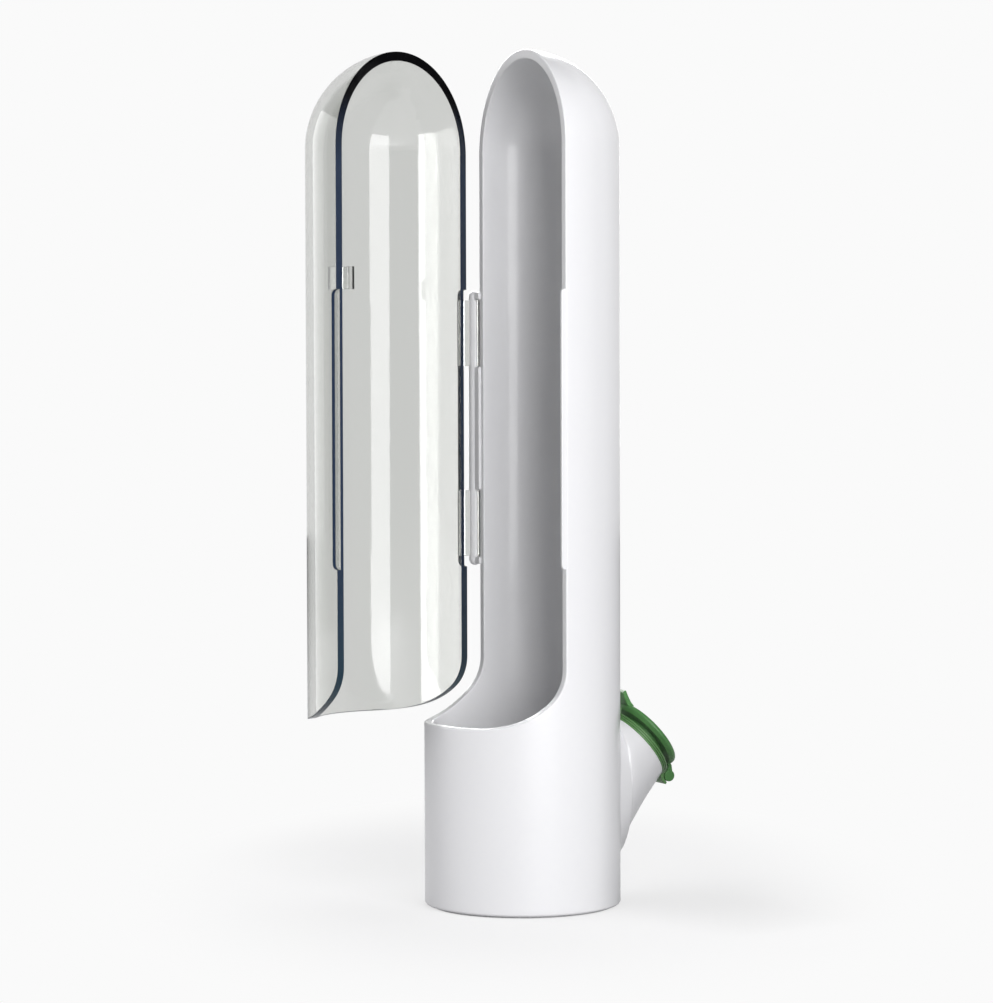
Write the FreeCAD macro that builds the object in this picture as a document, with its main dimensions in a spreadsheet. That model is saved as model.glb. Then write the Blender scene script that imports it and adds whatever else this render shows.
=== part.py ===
import FreeCAD, Part
import math
import os
import re

import Sketcher
from FreeCAD import Placement, Rotation, Vector

# Herb keeper: a tall white capsule whose front is cut away above a round cup, a clear door
# that closes the cut, and a fill spout low on the back with a soft cap.
# Millimetres. +Z is up, the origin is the middle of the base's underside on the capsule's
# axis, the opening faces -Y, the spout +Y, the door's hinge is on -X and its latch edge on +X.

# The driving sizes, each with the meaning that the sheet shows beside it.
SIZES = {
    "total_height": (278.2, "floor to the top of the dome"),
    "body_radius": (32.0, "outside radius of the capsule"),
    "wall": (3.0, "wall of the shell and of the door"),
    "cup_height": (60.0, "floor to the cup's rim"),
    "corner_depth": (26.0, "how far the rim's corner reaches forward of the axis"),
    "corner_rise": (19.0, "how far the rim's corner reaches above the cup's rim"),
    "corner_tight": (14.5, "radius of the upper, tighter arc of that corner"),
    "door_gap": (0.3, "gap between the door and the rim it closes on"),
    "rim_bevel": (0.4, "bevel of the opening's edges"),
    "shell_lift": (0.5, "shell's lower edge above the floor"),
    "foot_round": (1.0, "rounding of the shell's lower outer edge"),
    "seat_wall": (1.5, "wall of the shell round the base plate"),
    "plate_seat": (2.2, "height of the plate's seat in the shell"),
    "plate_fit": (0.1, "clearance round the base plate"),
    "plate_ceiling": (2.8, "chamber floor, the plate's upper face"),
    "foot_width": (3.2, "width of the plate's standing ring"),
    "foot_relief": (0.8, "recess inside the standing ring"),
    "spigot_height": (2.4, "height of the plate's locating ring above its seat"),
    "spigot_wall": (1.6, "wall of that ring"),
    "root_low": (8.0, "height of the spout's lower edge inside the chamber"),
    "root_spread": (3.8, "how much wider than the mouth the spout is there, each side"),
    "heel_in": (0.4, "heel of the spout's lower edge, inside the wall's surface"),
    "heel_low": (13.5, "height of the heel"),
    "heel_spread": (3.0, "how much wider the spout is at the heel, each side"),
    "bend_out": (4.3, "bend of the spout's lower edge, outside the wall's surface"),
    "bend_low": (22.5, "height of the bend"),
    "bend_spread": (2.2, "how much wider the spout is at the bend, each side"),
    "neck_out": (10.8, "neck of the spout's lower edge, outside the wall's surface"),
    "neck_low": (31.6, "height of the neck"),
    "neck_spread": (1.1, "how much wider the spout is at the neck, each side"),
    "crest_rise": (0.1, "how far the spout's crest stands above the mouth's upper lip"),
    "fan_step": (0.53, "step from each section's upper end to the next"),
    "mouth_tilt": (39.5, "rise of the mouth's axis above level, degrees"),
    "mouth_out": (9.0, "mouth's centre outside the wall's surface"),
    "mouth_up": (49.9, "mouth's centre above the floor"),
    "mouth_radius": (13.2, "outside radius of the mouth"),
    "mouth_oval": (0.02, "how much more the mouth's radius is down its face than across"),
    "spout_wall": (2.2, "wall of the spout"),
    "edge_middle": (155.25, "height of the middle of the hinge, tongue and rebate"),
    "tongue_length": (89.0, "length of the tongue on the latch edge"),
    "tongue_reach": (1.4, "how far the tongue stands forward of the rim"),
    "tongue_round": (1.2, "rounding of the tongue's ends"),
    "tongue_gap": (0.3, "gap between the tongue and the door's lip"),
    "tongue_inset": (0.1, "how far the tongue lies inside the capsule's surface"),
    "lip_thickness": (1.45, "inner part of the door's wall, left by its rebates"),
    "rebate_depth": (2.2, "depth of those rebates behind the door's rim"),
    "rebate_round": (2.0, "rounding of the rebate's ends"),
    "clip_clear": (0.3, "gap between the door's clips and the shell's wall"),
    "rod_radius": (2.0, "radius of the hinge rod"),
    "rod_length": (92.0, "length of the hinge rod"),
    "rod_fit": (0.08, "running clearance of the clips on the rod"),
    "web_thickness": (2.4, "thickness of the webs that carry the rod"),
    "web_front": (0.9, "how far the webs stand forward of the rim"),
    "web_end": (2.9, "height of the web at each end of the rod"),
    "clip_length": (22.0, "length of each clip of the door"),
    "clip_wall": (1.32, "wall of a clip round the rod"),
    "clip_mouth": (60.0, "angle at which a clip's free lip ends, degrees"),
    "clip_play": (0.3, "end play between a clip and the webs beside it"),
    "tab_length": (7.3, "height of the latch tab"),
    "tab_thickness": (1.6, "thickness of the latch tab"),
    "tab_reach": (3.0, "how far the tab reaches past the door's rim"),
    "tab_root": (5.6, "how far the tab's root runs along the door's wall"),
    "tab_relief": (0.4, "clearance of the tab inside the shell's wall"),
    "bump_width": (1.2, "width of the bump on the tab's outer face"),
    "bump_rise": (0.3, "height of that bump"),
    "catch_depth": (0.6, "depth of the bump's catch in the shell's wall"),
    "door_angle": (65.6, "opening of the door in the stored pose, degrees"),
    "collar_overhang": (0.3, "how far the cap's collar stands out past the mouth"),
    "collar_height": (2.1, "height of the collar's band above the mouth"),
    "sleeve_wall": (1.6, "wall of the collar's sleeve"),
    "sleeve_depth": (6.0, "how far the sleeve reaches into the mouth"),
    "sleeve_fit": (0.2, "clearance of the sleeve in the mouth's bore"),
    "lid_gap": (2.2, "finger gap between the band and the lid"),
    "lid_rim": (2.5, "thickness of the lid's rim"),
    "lid_crown": (1.8, "how far the lid's middle stands above its rim"),
    "lid_round": (0.9, "rounding of the lid's rim"),
    "plug_fit": (0.3, "clearance of the lid's plug in the collar"),
    "plug_taper": (0.8, "how much smaller the plug is at its end"),
    "plug_wall": (1.8, "wall of the plug"),
    "plug_depth": (2.5, "how far the plug reaches below the mouth's face"),
    "bead_up": (2.5, "living hinge's axis above the mouth's face"),
    "bead_radius": (1.9, "radius of the bead at the living hinge"),
    "bead_width": (7.0, "length of that bead"),
    "bead_gap": (0.3, "gap between the bead and the collar"),
    "pull_reach": (4.4, "how far the lid's pull tab reaches past its rim"),
    "pull_up": (1.3, "pull tab's root above the lid's lower face"),
    "pull_lift": (1.1, "how far the pull tab bends up"),
    "pull_width": (8.0, "width of the pull tab"),
    "pull_thickness": (1.7, "thickness of the pull tab"),
    "pull_point": (2.4, "rounding of the pull tab's corners"),
    "short_reach": (1.3, "how far the collar's short tab reaches past its band"),
}

# Heights and radii that follow from the driving sizes.
INNER_RADIUS = "(body_radius - wall)"
DOME_BASE = "(total_height - body_radius)"
CORNER_TOP = "(cup_height + corner_rise)"
CORNER_SWEEP = (
    "(((corner_depth - corner_tight)^2 + corner_rise^2 - corner_tight^2)"
    " / (2 * (corner_rise - corner_tight)))"
)
LIP_FACE = f"({INNER_RADIUS} + lip_thickness)"
CLIP_OUTSIDE = "(rod_radius + rod_fit + clip_wall)"
HINGE_X = f"(body_radius + clip_clear + {CLIP_OUTSIDE})"
WINDOW_LOW = "(edge_middle - rod_length / 2 + web_end)"
REBATE_HALF = "(tongue_length / 2 + 0.4)"
TAB_LOW = f"(edge_middle + {REBATE_HALF})"
CLIP_LOW = f"({WINDOW_LOW} + clip_play)"
CLIP_PITCH = "(rod_length - 2 * web_end - 2 * clip_play - clip_length)"
PLATE_RADIUS = "(body_radius - seat_wall - plate_fit)"
MOUTH_CENTRE = ("(body_radius + mouth_out)", "mouth_up")
MOUTH_ACROSS = "mouth_radius * sin(mouth_tilt)"
MOUTH_RISE = "mouth_radius * cos(mouth_tilt)"
COLLAR_RADIUS = "(mouth_radius + collar_overhang)"
SLEEVE_RADIUS = "(mouth_radius - spout_wall - sleeve_fit)"
COLLAR_BORE = f"({SLEEVE_RADIUS} - sleeve_wall)"
BEAD_OUT = f"({COLLAR_RADIUS} + bead_gap + bead_radius)"
LID_FACE = "(collar_height + lid_gap)"
LID_TOP = f"({LID_FACE} + lid_rim)"

CLEAR_OF_ALL = 6.0      # how far a cutting outline runs past the solid it cuts
ROOT = 0.5              # how far an added feature is rooted in its wall
TOUCH = 0.01            # how near a point lies to the line or plane that it is on


def bound(text):
    """Point every size that an expression names at its cell of the sheet."""
    names = "|".join(sorted(SIZES, key=len, reverse=True))
    return re.sub(rf"\b({names})\b", r"Sizes.\1", text)


def measure(item, text):
    """The number that an expression gives now."""
    value = item.evalExpression(bound(text))
    return float(getattr(value, "Value", value))


def make_sheet(doc):
    """The sheet of driving sizes: meaning, value and alias in each row."""
    sheet = doc.addObject("Spreadsheet::Sheet", "Sizes")
    for row, (alias, (value, meaning)) in enumerate(SIZES.items(), start=1):
        sheet.set(f"A{row}", meaning)
        sheet.set(f"B{row}", str(value))
        sheet.setAlias(f"B{row}", alias)
    doc.recompute()
    return sheet


def origin_plane(body, role):
    return next(item for item in body.Origin.OriginFeatures if item.Role == role)


def add_sketch(body, name, role, offset="0"):
    """A sketch on one of the body's origin planes, moved along that plane's normal."""
    sketch = body.newObject("Sketcher::SketchObject", name)
    sketch.AttachmentSupport = [(origin_plane(body, role), "")]
    sketch.MapMode = "FlatFace"
    sketch.setExpression("AttachmentOffset.Base.z", bound(offset))
    return sketch


class Outline:
    """A closed outline, drawn corner to corner, whose corners and radii follow the sheet."""

    def __init__(self, sketch, across, up):
        self.sketch = sketch
        self.start = (across, up)
        self.here = (across, up)
        self.ends = []

    def point(self, corner):
        return Vector(measure(self.sketch, corner[0]), measure(self.sketch, corner[1]), 0)

    def pin(self, kind, geometry, end, text):
        """Hold one coordinate of a corner, or a radius, to its expression."""
        if kind == "Radius":
            value = Sketcher.Constraint(kind, geometry, measure(self.sketch, text))
        else:
            value = Sketcher.Constraint(kind, -1, 1, geometry, end, measure(self.sketch, text))
        index = self.sketch.addConstraint(value)
        self.sketch.setExpression(f"Constraints[{index}]", bound(text))

    def add(self, geometry, first_end, corner):
        index = self.sketch.addGeometry(geometry, False)
        if self.ends:
            last, last_end = self.ends[-1]
            self.sketch.addConstraint(
                Sketcher.Constraint("Coincident", last, last_end, index, first_end)
            )
        self.pin("DistanceX", index, first_end, self.here[0])
        self.pin("DistanceY", index, first_end, self.here[1])
        self.ends.append((index, 3 - first_end))
        self.first = getattr(self, "first", (index, first_end))
        self.here = corner
        return index

    def line(self, across, up):
        corner = (across, up)
        self.add(Part.LineSegment(self.point(self.here), self.point(corner)), 1, corner)
        return self

    def arc(self, across, up, radius, left=True, major=False):
        """An arc to a corner, turning left or right, the long way round if major."""
        corner = (across, up)
        begin = self.point(self.here)
        end = self.point(corner)
        size = measure(self.sketch, radius)
        chord = end - begin
        height = math.sqrt(max(size**2 - (chord.Length / 2) ** 2, 0))
        side = 1 if left != major else -1
        to_left = Vector(-chord.y, chord.x, 0).normalize()
        centre = (begin + end) * 0.5 + to_left * height * side
        angles = [math.atan2(p.y - centre.y, p.x - centre.x) for p in (begin, end)]
        circle = Part.Circle(centre, Vector(0, 0, 1), size)
        if left:
            index = self.add(Part.ArcOfCircle(circle, angles[0], angles[1]), 1, corner)
        else:
            index = self.add(Part.ArcOfCircle(circle, angles[1], angles[0]), 2, corner)
        self.pin("Radius", index, 0, radius)
        return self

    def close(self):
        """Join the last corner to the first, by a line if they differ."""
        if self.here != self.start:
            self.line(*self.start)
        last, last_end = self.ends[-1]
        first, first_end = self.first
        self.sketch.addConstraint(
            Sketcher.Constraint("Coincident", last, last_end, first, first_end)
        )
        return self.sketch


def add_ellipse(sketch, half_up, half_across):
    """An upright ellipse about the sketch's origin, or a circle where both halves agree."""
    tall = measure(sketch, half_up)
    wide = measure(sketch, half_across)
    ellipse = Part.Ellipse(Vector(0, tall, 0), Vector(-wide, 0, 0), Vector(0, 0, 0))
    index = sketch.addGeometry(ellipse, False)
    sketch.exposeInternalGeometry(index)
    sketch.addConstraint(Sketcher.Constraint("Coincident", index, 3, -1, 1))
    major = index + 1
    minor = index + 2
    sketch.addConstraint(Sketcher.Constraint("Vertical", major))
    for axis, half in ((major, half_up), (minor, half_across)):
        length = Sketcher.Constraint("Distance", axis, 2 * measure(sketch, half))
        place = sketch.addConstraint(length)
        sketch.setExpression(f"Constraints[{place}]", bound(f"2 * ({half})"))


def add_feature(body, kind, name, profile, **bindings):
    """A PartDesign feature of one profile, with its sizes bound to the sheet."""
    feature = body.newObject(f"PartDesign::{kind}", name)
    feature.Profile = profile
    for size, text in bindings.items():
        feature.setExpression(size, bound(text))
    profile.Visibility = False
    return feature


def revolve(body, kind, name, sketch, axis="V_Axis"):
    """A full turn of a sketch about its own upright axis, added or cut away."""
    feature = add_feature(body, kind, name, sketch, Angle="360")
    feature.ReferenceAxis = (sketch, [axis])
    return feature


def cut_through(body, name, sketch):
    """A pocket that runs through the whole solid on both sides of its sketch."""
    feature = add_feature(body, "Pocket", name, sketch, Length=f"4 * body_radius + {CLEAR_OF_ALL}")
    feature.SideType = "Symmetric"
    return feature


def add_body(doc, label):
    body = doc.addObject("PartDesign::Body", label)
    body.Label = label
    return body


# ---------------------------------------------------------------- the opening's curve

def corner_join(gap):
    """Where the corner's two arcs meet, moved outward from the body by a gap."""
    across = f"(corner_depth - corner_tight) / ({CORNER_SWEEP} - corner_tight)"
    up = f"(corner_rise - {CORNER_SWEEP}) / ({CORNER_SWEEP} - corner_tight)"
    return (
        f"-corner_tight + (corner_tight - {gap}) * {across}",
        f"{CORNER_TOP} + (corner_tight - {gap}) * {up}",
    )


def opening_curve(outline, gap):
    """Down the rim's plane, round the corner's two arcs and forward along the cup's rim."""
    outline.line(f"-{gap}", CORNER_TOP)
    outline.arc(*corner_join(gap), f"corner_tight - {gap}", left=False)
    outline.arc("-corner_depth", f"cup_height + {gap}", f"{CORNER_SWEEP} - {gap}", left=False)
    return outline.line(f"-body_radius - {CLEAR_OF_ALL}", f"cup_height + {gap}")


# ---------------------------------------------------------------- body shell

def add_capsule(body):
    """The outside of the capsule, from its rounded lower edge to the dome."""
    sketch = add_sketch(body, "CapsuleOutline", "XZ_Plane")
    outline = Outline(sketch, "0", "shell_lift")
    outline.line("body_radius - foot_round", "shell_lift")
    outline.arc("body_radius", "shell_lift + foot_round", "foot_round")
    outline.line("body_radius", DOME_BASE)
    outline.arc("0", "total_height", "body_radius")
    revolve(body, "Revolution", "Capsule", outline.close())


def hollow_capsule(body):
    """The chamber, open below, with the counterbore that seats the base plate."""
    sketch = add_sketch(body, "ChamberOutline", "XZ_Plane")
    seat = "body_radius - seat_wall"
    outline = Outline(sketch, "0", f"-{CLEAR_OF_ALL}")
    outline.line(seat, f"-{CLEAR_OF_ALL}")
    outline.line(seat, "plate_seat")
    outline.line(INNER_RADIUS, "plate_seat")
    outline.line(INNER_RADIUS, DOME_BASE)
    outline.arc("0", "total_height - wall", INNER_RADIUS)
    revolve(body, "Groove", "Chamber", outline.close())


def spout_stations():
    """Lower end, upper end and spread of each section, from the chamber to the mouth.

    The lower ends leave the wall in a bend and then climb to the mouth's lower lip. The
    upper ends stay close together under the mouth's upper lip, so the sections fan out.
    """
    inside = f"({INNER_RADIUS} - 5)"
    lip = (f"({MOUTH_CENTRE[0]} + {MOUTH_ACROSS})", f"(mouth_up - {MOUTH_RISE})")
    top = (f"({MOUTH_CENTRE[0]} - {MOUTH_ACROSS})", f"(mouth_up + {MOUTH_RISE})")
    crest = f"({top[1]} + crest_rise)"
    return [
        ((inside, "root_low"), (inside, top[1]), "root_spread"),
        (("(body_radius - heel_in)", "heel_low"), (f"({top[0]} - 3 * fan_step)", crest), "heel_spread"),
        (("(body_radius + bend_out)", "bend_low"), (f"({top[0]} - 2 * fan_step)", crest), "bend_spread"),
        (("(body_radius + neck_out)", "neck_low"), (f"({top[0]} - fan_step)", crest), "neck_spread"),
        (lip, top, "0"),
    ]


def spout_section(body, name, station, inset):
    """One section of the spout: an ellipse that hangs from the upper end to the lower."""
    lower, upper, spread = station
    sketch = body.newObject("Sketcher::SketchObject", name)
    sketch.AttachmentSupport = [(origin_plane(body, "XY_Plane"), "")]
    sketch.MapMode = "FlatFace"
    tilt = f"atan2({lower[0]} - {upper[0]}; {upper[1]} - {lower[1]})"
    length = f"sqrt(({lower[0]} - {upper[0]})^2 + ({upper[1]} - {lower[1]})^2)"
    sketch.AttachmentOffset = Placement(Vector(), Rotation(Vector(1, 0, 0), 90))
    sketch.setExpression("AttachmentOffset.Base.y", bound(f"({lower[0]} + {upper[0]}) / 2"))
    sketch.setExpression("AttachmentOffset.Base.z", bound(f"({lower[1]} + {upper[1]}) / 2"))
    sketch.setExpression("AttachmentOffset.Rotation.Angle", bound(f"90 deg + {tilt}"))
    add_ellipse(sketch, f"{length} / 2 + mouth_oval - {inset}", f"mouth_radius + {spread} - {inset}")
    return sketch


def loft_spout(body, kind, name, inset):
    """The spout's outside, or its passage, as one loft through the fanned sections."""
    sections = [
        spout_section(body, f"{name}Section{place}", station, inset)
        for place, station in enumerate(spout_stations())
    ]
    body.Document.recompute()
    loft = add_feature(body, kind, name, sections[0])
    loft.Sections = sections[1:]
    for sketch in sections:
        sketch.Visibility = False


def cut_opening(body):
    """Cut the front away above the cup, and bevel the edges that this leaves."""
    top = f"total_height + {CLEAR_OF_ALL}"
    front = f"-body_radius - {CLEAR_OF_ALL}"
    sketch = add_sketch(body, "OpeningOutline", "YZ_Plane")
    outline = Outline(sketch, "0", top)
    opening_curve(outline, "0").line(front, top)
    cut_through(body, "Opening", outline.close())
    dress_edges(body, "Chamfer", "RimBevel", "rim_bevel", rim_test(body))


def along(edge):
    """Three points well inside an edge."""
    first, last = edge.ParameterRange
    return [edge.valueAt(first + share * (last - first)) for share in (0.2, 0.5, 0.8)]


def dress_edges(body, kind, name, size, chosen):
    """Round or bevel each edge of the body so far whose points all pass a test."""
    body.Document.recompute()
    base = body.Tip
    names = [
        f"Edge{place}"
        for place, edge in enumerate(base.Shape.Edges, start=1)
        if edge.Length > TOUCH and all(chosen(point) for point in along(edge))
    ]
    dressing = body.newObject(f"PartDesign::{kind}", name)
    dressing.Base = (base, names)
    dressing.setExpression("Radius" if kind == "Fillet" else "Size", bound(size))


def rim_test(body):
    """A test of whether a point lies on the opening's curve, on either side of the wall."""
    corner_top = measure(body, CORNER_TOP)
    cup = measure(body, "cup_height")
    tight = measure(body, "corner_tight")
    depth = measure(body, "corner_depth")
    sweep = measure(body, CORNER_SWEEP)

    def on_rim(at):
        if at.z > corner_top:
            return abs(at.y) < TOUCH
        if at.y < -depth:
            return abs(at.z - cup) < TOUCH
        to_tight = math.hypot(at.y + tight, at.z - corner_top) - tight
        to_sweep = math.hypot(at.y + depth, at.z - cup - sweep) - sweep
        return min(abs(to_tight), abs(to_sweep)) < TOUCH

    return on_rim


def add_tongue(body):
    """The tongue in the outer half of the latch edge, which fills the door's rebate."""
    low = "(edge_middle - tongue_length / 2)"
    high = "(edge_middle + tongue_length / 2)"
    inner = f"({LIP_FACE} + tongue_gap)"
    sketch = add_sketch(body, "TongueOutline", "YZ_Plane", inner)
    outline = Outline(sketch, f"{ROOT}", low)
    outline.line(f"{ROOT}", high)
    outline.line("tongue_round - tongue_reach", high)
    outline.arc("-tongue_reach", f"{high} - tongue_round", "tongue_round")
    outline.line("-tongue_reach", f"{low} + tongue_round")
    outline.arc("tongue_round - tongue_reach", low, "tongue_round")
    thickness = f"body_radius - tongue_inset - {inner}"
    add_feature(body, "Pad", "Tongue", outline.close(), Length=thickness)


def add_hinge_rod(body):
    """The rod that the door's clips turn on, with a round end above and below."""
    low = "(edge_middle - rod_length / 2)"
    high = "(edge_middle + rod_length / 2)"
    sketch = add_sketch(body, "RodOutline", "XZ_Plane")
    outline = Outline(sketch, f"-{HINGE_X}", low)
    outline.line(f"-{HINGE_X}", high)
    outline.arc(f"-{HINGE_X} - rod_radius", f"{high} - rod_radius", "rod_radius")
    outline.line(f"-{HINGE_X} - rod_radius", f"{low} + rod_radius")
    outline.arc(f"-{HINGE_X}", low, "rod_radius")
    revolve(body, "Revolution", "HingeRod", outline.close(), "Edge1")


def add_hinge_webs(body):
    """Webs at the rod's ends and middle; the clips turn in the two windows between."""
    low = "(edge_middle - rod_length / 2)"
    high = "(edge_middle + rod_length / 2)"
    middle_low = f"({CLIP_LOW} + clip_length + clip_play)"
    middle_high = f"(2 * edge_middle - {middle_low})"
    spans = [
        (f"{low} + 0.6", WINDOW_LOW),
        (middle_low, middle_high),
        (f"2 * edge_middle - {WINDOW_LOW}", f"{high} - 0.6"),
    ]
    root = f"-({LIP_FACE} + 0.35)"
    for place, (bottom, top) in enumerate(spans):
        sketch = add_sketch(body, f"WebOutline{place}", "XZ_Plane", "web_front - web_thickness")
        outline = Outline(sketch, root, bottom)
        outline.line(root, top).line(f"-{HINGE_X}", top).line(f"-{HINGE_X}", bottom)
        add_feature(body, "Pad", f"Web{place}", outline.close(), Length="web_thickness")


def cut_catch(body):
    """A shallow catch for the latch tab, in the inner face of the latch wall."""
    low = f"({TAB_LOW} - clip_play)"
    high = f"({TAB_LOW} + tab_length + clip_play)"
    floor = f"({INNER_RADIUS} + catch_depth)"
    sketch = add_sketch(body, "CatchOutline", "YZ_Plane", floor)
    near = "(tab_reach / 2 - bump_width)"
    far = "(tab_reach / 2 + bump_width)"
    outline = Outline(sketch, near, low)
    outline.line(far, low).line(far, high).line(near, high)
    add_feature(body, "Pocket", "Catch", outline.close(), Length="catch_depth + wall / 2")


def make_body_shell(doc):
    """Cup, back half of the capsule, spout, hinge rod and latch edge in one moulding."""
    body = add_body(doc, "body_shell")
    add_capsule(body)
    loft_spout(body, "AdditiveLoft", "Spout", "0")
    hollow_capsule(body)
    loft_spout(body, "SubtractiveLoft", "Passage", "spout_wall")
    cut_opening(body)
    add_tongue(body)
    add_hinge_rod(body)
    add_hinge_webs(body)
    cut_catch(body)
    return body


# ---------------------------------------------------------------- base plate

def make_base_plate(doc):
    """Plate that closes the shell from below: standing ring, seat and locating ring."""
    body = add_body(doc, "base_plate")
    spigot = f"({INNER_RADIUS} - plate_fit)"
    ring_inner = f"({PLATE_RADIUS} - foot_width)"
    ring_top = "(plate_seat + spigot_height)"
    sketch = add_sketch(body, "PlateOutline", "XZ_Plane")
    outline = Outline(sketch, "0", "foot_relief")
    outline.line(f"{ring_inner} - foot_relief", "foot_relief")
    outline.line(ring_inner, "0")
    outline.line(f"{PLATE_RADIUS} - foot_relief / 2", "0")
    outline.line(PLATE_RADIUS, "foot_relief / 2")
    outline.line(PLATE_RADIUS, "plate_seat")
    outline.line(spigot, "plate_seat")
    outline.line(spigot, ring_top)
    outline.line(f"{spigot} - spigot_wall", ring_top)
    outline.line(f"{spigot} - spigot_wall", "plate_ceiling")
    outline.line("0", "plate_ceiling")
    revolve(body, "Revolution", "Plate", outline.close())
    return body


# ---------------------------------------------------------------- door

def add_door_shell(body):
    """The capsule's wall in full, cut back to what lies in front of the rim."""
    low = f"(cup_height - {CLEAR_OF_ALL})"
    top = f"total_height + {CLEAR_OF_ALL}"
    back = f"body_radius + {CLEAR_OF_ALL}"
    sketch = add_sketch(body, "DoorWallOutline", "XZ_Plane")
    outline = Outline(sketch, INNER_RADIUS, low)
    outline.line("body_radius", low)
    outline.line("body_radius", DOME_BASE)
    outline.arc("0", "total_height", "body_radius")
    outline.line("0", "total_height - wall")
    outline.arc(INNER_RADIUS, DOME_BASE, INNER_RADIUS, left=False)
    revolve(body, "Revolution", "DoorWall", outline.close())

    sketch = add_sketch(body, "DoorEdgeOutline", "YZ_Plane")
    outline = Outline(sketch, "-door_gap", top)
    opening_curve(outline, "door_gap")
    outline.line(f"-body_radius - {CLEAR_OF_ALL}", f"{low} - {CLEAR_OF_ALL}")
    outline.line(back, f"{low} - {CLEAR_OF_ALL}").line(back, top)
    cut_through(body, "DoorEdge", outline.close())


def cut_rebate(body, name, face, half, outward):
    """A rebate along one upright edge, which leaves the inner lip of the wall."""
    floor = "-(door_gap + rebate_depth)"
    low = f"(edge_middle - {half})"
    high = f"(edge_middle + {half})"
    sketch = add_sketch(body, f"{name}Outline", "YZ_Plane", face)
    outline = Outline(sketch, f"{ROOT}", low)
    outline.line(f"{ROOT}", high)
    outline.line(f"{floor} + rebate_round", high)
    outline.arc(floor, f"{high} - rebate_round", "rebate_round")
    outline.line(floor, f"{low} + rebate_round")
    outline.arc(f"{floor} + rebate_round", low, "rebate_round")
    pocket = add_feature(body, "Pocket", name, outline.close(), Length="wall")
    pocket.Reversed = outward


def add_clips(body):
    """Two C clips on arms, which snap on the hinge rod and turn in the webs' windows."""
    inner = "(rod_radius + rod_fit)"
    outer = CLIP_OUTSIDE
    root = f"-({LIP_FACE} + 0.35)"
    lip_inner = (f"-{HINGE_X} + {inner} * cos(clip_mouth)", f"{inner} * sin(clip_mouth)")
    lip_outer = (f"-{HINGE_X} + {outer} * cos(clip_mouth)", f"{outer} * sin(clip_mouth)")
    sketch = add_sketch(body, "ClipOutline", "XY_Plane", CLIP_LOW)
    outline = Outline(sketch, root, "-door_gap")
    outline.line(f"-{HINGE_X} + sqrt({inner}^2 - door_gap^2)", "-door_gap")
    outline.arc(*lip_inner, inner, left=False, major=True)
    outline.line(*lip_outer)
    outline.arc(f"-{HINGE_X}", f"-{outer}", outer, major=True)
    outline.line(root, f"-{outer}")
    clip = add_feature(body, "Pad", "Clip", outline.close(), Length="clip_length")
    body.Document.recompute()
    pattern = body.newObject("PartDesign::LinearPattern", "Clips")
    pattern.Originals = [clip]
    pattern.Direction = (origin_axis(body, "Z_Axis"), [""])
    pattern.Occurrences = 2
    pattern.setExpression("Length", bound(CLIP_PITCH))
    body.Tip = pattern


def origin_axis(body, role):
    return next(item for item in body.Origin.OriginFeatures if item.Role == role)


def add_latch_tab(body):
    """The tab on the inside of the latch edge, which reaches into the shell."""
    outer = f"({INNER_RADIUS} - tab_relief)"
    inner = f"({outer} - tab_thickness)"
    bump = "((bump_width / 2)^2 / (2 * bump_rise) + bump_rise / 2)"
    sketch = add_sketch(body, "TabOutline", "XY_Plane", TAB_LOW)
    outline = Outline(sketch, inner, "-tab_root")
    outline.line(f"{INNER_RADIUS} + {ROOT}", "-tab_root")
    outline.line(f"{INNER_RADIUS} + {ROOT}", "-door_gap")
    outline.line(outer, "-door_gap")
    outline.line(outer, "tab_reach / 2 - bump_width / 2")
    outline.arc(outer, "tab_reach / 2 + bump_width / 2", bump)
    outline.line(outer, "tab_reach - 0.6")
    outline.line(f"{outer} - 0.6", "tab_reach")
    outline.line(inner, "tab_reach")
    add_feature(body, "Pad", "LatchTab", outline.close(), Length="tab_length")


def make_door_shell(doc):
    """The clear half capsule, with its rebates, clips and latch tab, standing open."""
    body = add_body(doc, "door_shell")
    add_door_shell(body)
    cut_rebate(body, "LatchRebate", LIP_FACE, REBATE_HALF, True)
    cut_rebate(body, "HingeRebate", f"-{LIP_FACE}", "(rod_length / 2 + clip_play)", False)
    add_clips(body)
    add_latch_tab(body)
    return body


def open_door(body):
    """Turn the door about the hinge rod from closed to its stored pose."""
    turn = "(0 - door_angle)"
    body.Placement = Placement(Vector(), Rotation(Vector(0, 0, 1), 1))
    body.setExpression("Placement.Rotation.Angle", bound(turn))
    body.setExpression("Placement.Base.x", bound(f"-{HINGE_X} * (1 - cos(door_angle))"))
    body.setExpression("Placement.Base.y", bound(f"-{HINGE_X} * sin(door_angle)"))


# ---------------------------------------------------------------- cap

def seat_on_mouth(body):
    """Stand a cap piece on the mouth: its Z along the mouth's axis, its Y down the face."""
    body.Placement = Placement(Vector(), Rotation(Vector(1, 0, 0), 1))
    body.setExpression("Placement.Rotation.Angle", bound("mouth_tilt - 90"))
    body.setExpression("Placement.Base.y", bound(MOUTH_CENTRE[0]))
    body.setExpression("Placement.Base.z", bound(MOUTH_CENTRE[1]))


def pad_both_ways(body, name, sketch, width):
    pad = add_feature(body, "Pad", name, sketch, Length=width)
    pad.SideType = "Symmetric"
    return pad


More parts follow.
